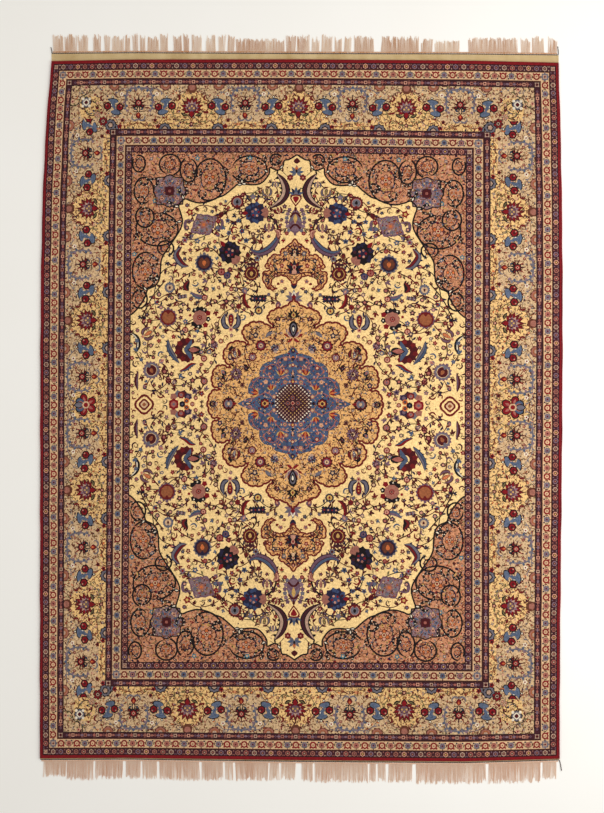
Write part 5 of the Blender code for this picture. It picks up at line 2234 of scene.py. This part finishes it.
def makeFringe(end, knots, strands, cotton):
    start, stop = (endLine(end, [x], 0.0)[0][0] / mm for x in trim["headingEnds"])
    guide = headingLine(end, start, stop, trim["headingWidth"] / 2.0, 160)
    path = np.column_stack([guide, np.full(len(guide), 1.5 * mm)])
    name = end.capitalize()
    heading = grown("heading" + name, lineObject("headingGuide", [path]), knots,
                    {"Seed": 3 if end == "far" else 8}, cotton, 60)
    rng = random.Random(end + " fringe")
    paths, reach, lean, paleness = [], [], [], []
    for first, last, length, splay in rowsOf(clumps[end]):
        count = max(3, int((last - first) / 6.0))
        line = headingLine(end, first + 1.0, last - 1.0, trim["headingWidth"] * 0.55, count)
        paths.append(np.column_stack([line, np.full(count, 1.2 * mm)]))
        middle, tilt = (first + last) / 2.0, rng.uniform(-2.0, 2.0)
        pale = rng.uniform(0.2, 1.0) if last - first < 130 else rng.uniform(0.0, 0.4)
        for x in np.linspace(first, last, count):
            torn = rng.random() ** 3 * trim["torn"][end]
            reach.append((length * (1.0 - torn) + trim["headingWidth"] * 0.45 - 2.0) * mm)
            shift = (x - middle) * (splay - 1.0) + tilt + rng.gauss(0.0, 2.6)
            lean.append(-shift / length * (1.0 if end == "far" else -1.0))
            paleness.append(pale + rng.uniform(-0.2, 0.2))
    guide = lineObject("fringeGuide", paths, {"reach": reach, "lean": lean, "paleness": paleness})
    sizes = {"Seed": 11 if end == "far" else 27, "Out": 1.0 if end == "far" else -1.0,
             "Pitch": trim["strandPitch"][end] * mm}
    hanks = grown("fringe" + name, guide, strands, sizes, cotton, 60)
    return heading, hanks


def makeFloor():
    floor = {"size": 16.0, "drop": 0.5 * mm}
    half = floor["size"] / 2.0
    mesh = bpy.data.meshes.new("paleFloor")
    corners = [(-half, -half), (half, -half), (half, half), (-half, half)]
    mesh.from_pydata([(x, y, -floor["drop"]) for x, y in corners], [], [(0, 1, 2, 3)])
    material, nodes, shader = shaderOf("palePaint")
    mottle = nodes.noise(nodes.make("ShaderNodeTexCoord", output=3), 1.4, 3.0, 0.5)
    low, high = (*linear((250, 247, 240)), 1.0), (*linear((254, 252, 247)), 1.0)
    nodes.feed(shader.inputs["Base Color"], nodes.mixColour(mottle, low, high))
    shader.inputs["Roughness"].default_value = 0.9
    shader.inputs["Specular IOR Level"].default_value = 0.1
    plane = joined("paleFloor", mesh, material)


# Camera over the middle of the carpet, and light from broad panels beside it
studio = {
    "lens": 85.0,
    "frameHeight": 4.065,  # metres that the picture takes in at the top of the pile
    "aim": (0.0035, 0.0125),
    "worldStrength": 0.64,
    "panels": (  # place, size, watts
        ((-3.6, 2.6, 4.2), 3.0, 18.0),
        ((3.0, 0.3, 2.6), 3.0, 98.0),
    ),
}


def makeStudio():
    camera = bpy.data.cameras.new("camera")
    camera.lens = studio["lens"]
    view = bpy.data.objects.new("camera", camera)
    height = studio["frameHeight"] * studio["lens"] / camera.sensor_width + pile["height"] * mm
    view.location = (*studio["aim"], height)
    bpy.context.scene.collection.objects.link(view)
    bpy.context.scene.camera = view
    for i, (place, size, watts) in enumerate(studio["panels"]):
        lamp = bpy.data.lights.new(f"panel{i}", "AREA")
        lamp.size, lamp.energy = size, watts
        panel = bpy.data.objects.new(f"panel{i}", lamp)
        panel.location = place
        panel.rotation_euler = (-Vector(place)).to_track_quat("-Z", "Y").to_euler()
        bpy.context.scene.collection.objects.link(panel)
    world = bpy.data.worlds.new("studio")
    world.use_nodes = True
    background = world.node_tree.nodes["Background"]
    background.inputs[0].default_value = (1.0, 0.985, 0.96, 1.0)
    background.inputs[1].default_value = studio["worldStrength"]
    bpy.context.scene.world = world
    bpy.context.scene.view_settings.view_transform = "Standard"


makeStudio()
print("studio set")
foundation, pileParts = makePile()
print("pile done")
selvedges = makeSelvedges()
cottonWeb = yarnMaterial("webCotton", (196, 168, 118), (234, 214, 170), 500.0)
twineWool = yarnMaterial("twineWool", (44, 24, 18), (84, 50, 38), 700.0)
fringeCotton = {
    "far": yarnMaterial("fringeCottonFar", (194, 138, 92), (240, 216, 190), 420.0, 0.6),
    "near": yarnMaterial("fringeCottonNear", (222, 176, 144), (246, 222, 200), 420.0, 0.5),
}
wefts, twines, knots, strands = weftTree(), twineTree(), knotTree(), strandTree()
trims = []
for end in ("far", "near"):
    web, warps = makeWeb(end, wefts, cottonWeb)
    twine = makeTwine(end, twines, twineWool)
    heading, hanks = makeFringe(end, knots, strands, fringeCotton[end])
    trims.append((end, web, warps, twine, heading, hanks))
print("ends done")
makeFloor()

onCarpet = []
for piece in [foundation] + pileParts:
    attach(piece, "root")
    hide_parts("pile")
for wraps, core, node in selvedges:
    for piece in (wraps, core):
        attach(piece, "root")
        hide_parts(node)
        onCarpet.append(piece)
for end, web, warps, twine, heading, hanks in trims:
    for piece, node, slot in (
        (web, "web_", "web_cotton"), (warps, "web_", "web_cotton"), (twine, "twine_", "twine_wool"),
        (heading, "fringe_", "fringe_cotton"), (hanks, "fringe_", "fringe_cotton"),
    ):
        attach(piece, "root")
        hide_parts(node + end)
        onCarpet.append(piece)
pileParts + onCarpet
print("carpet dressed")
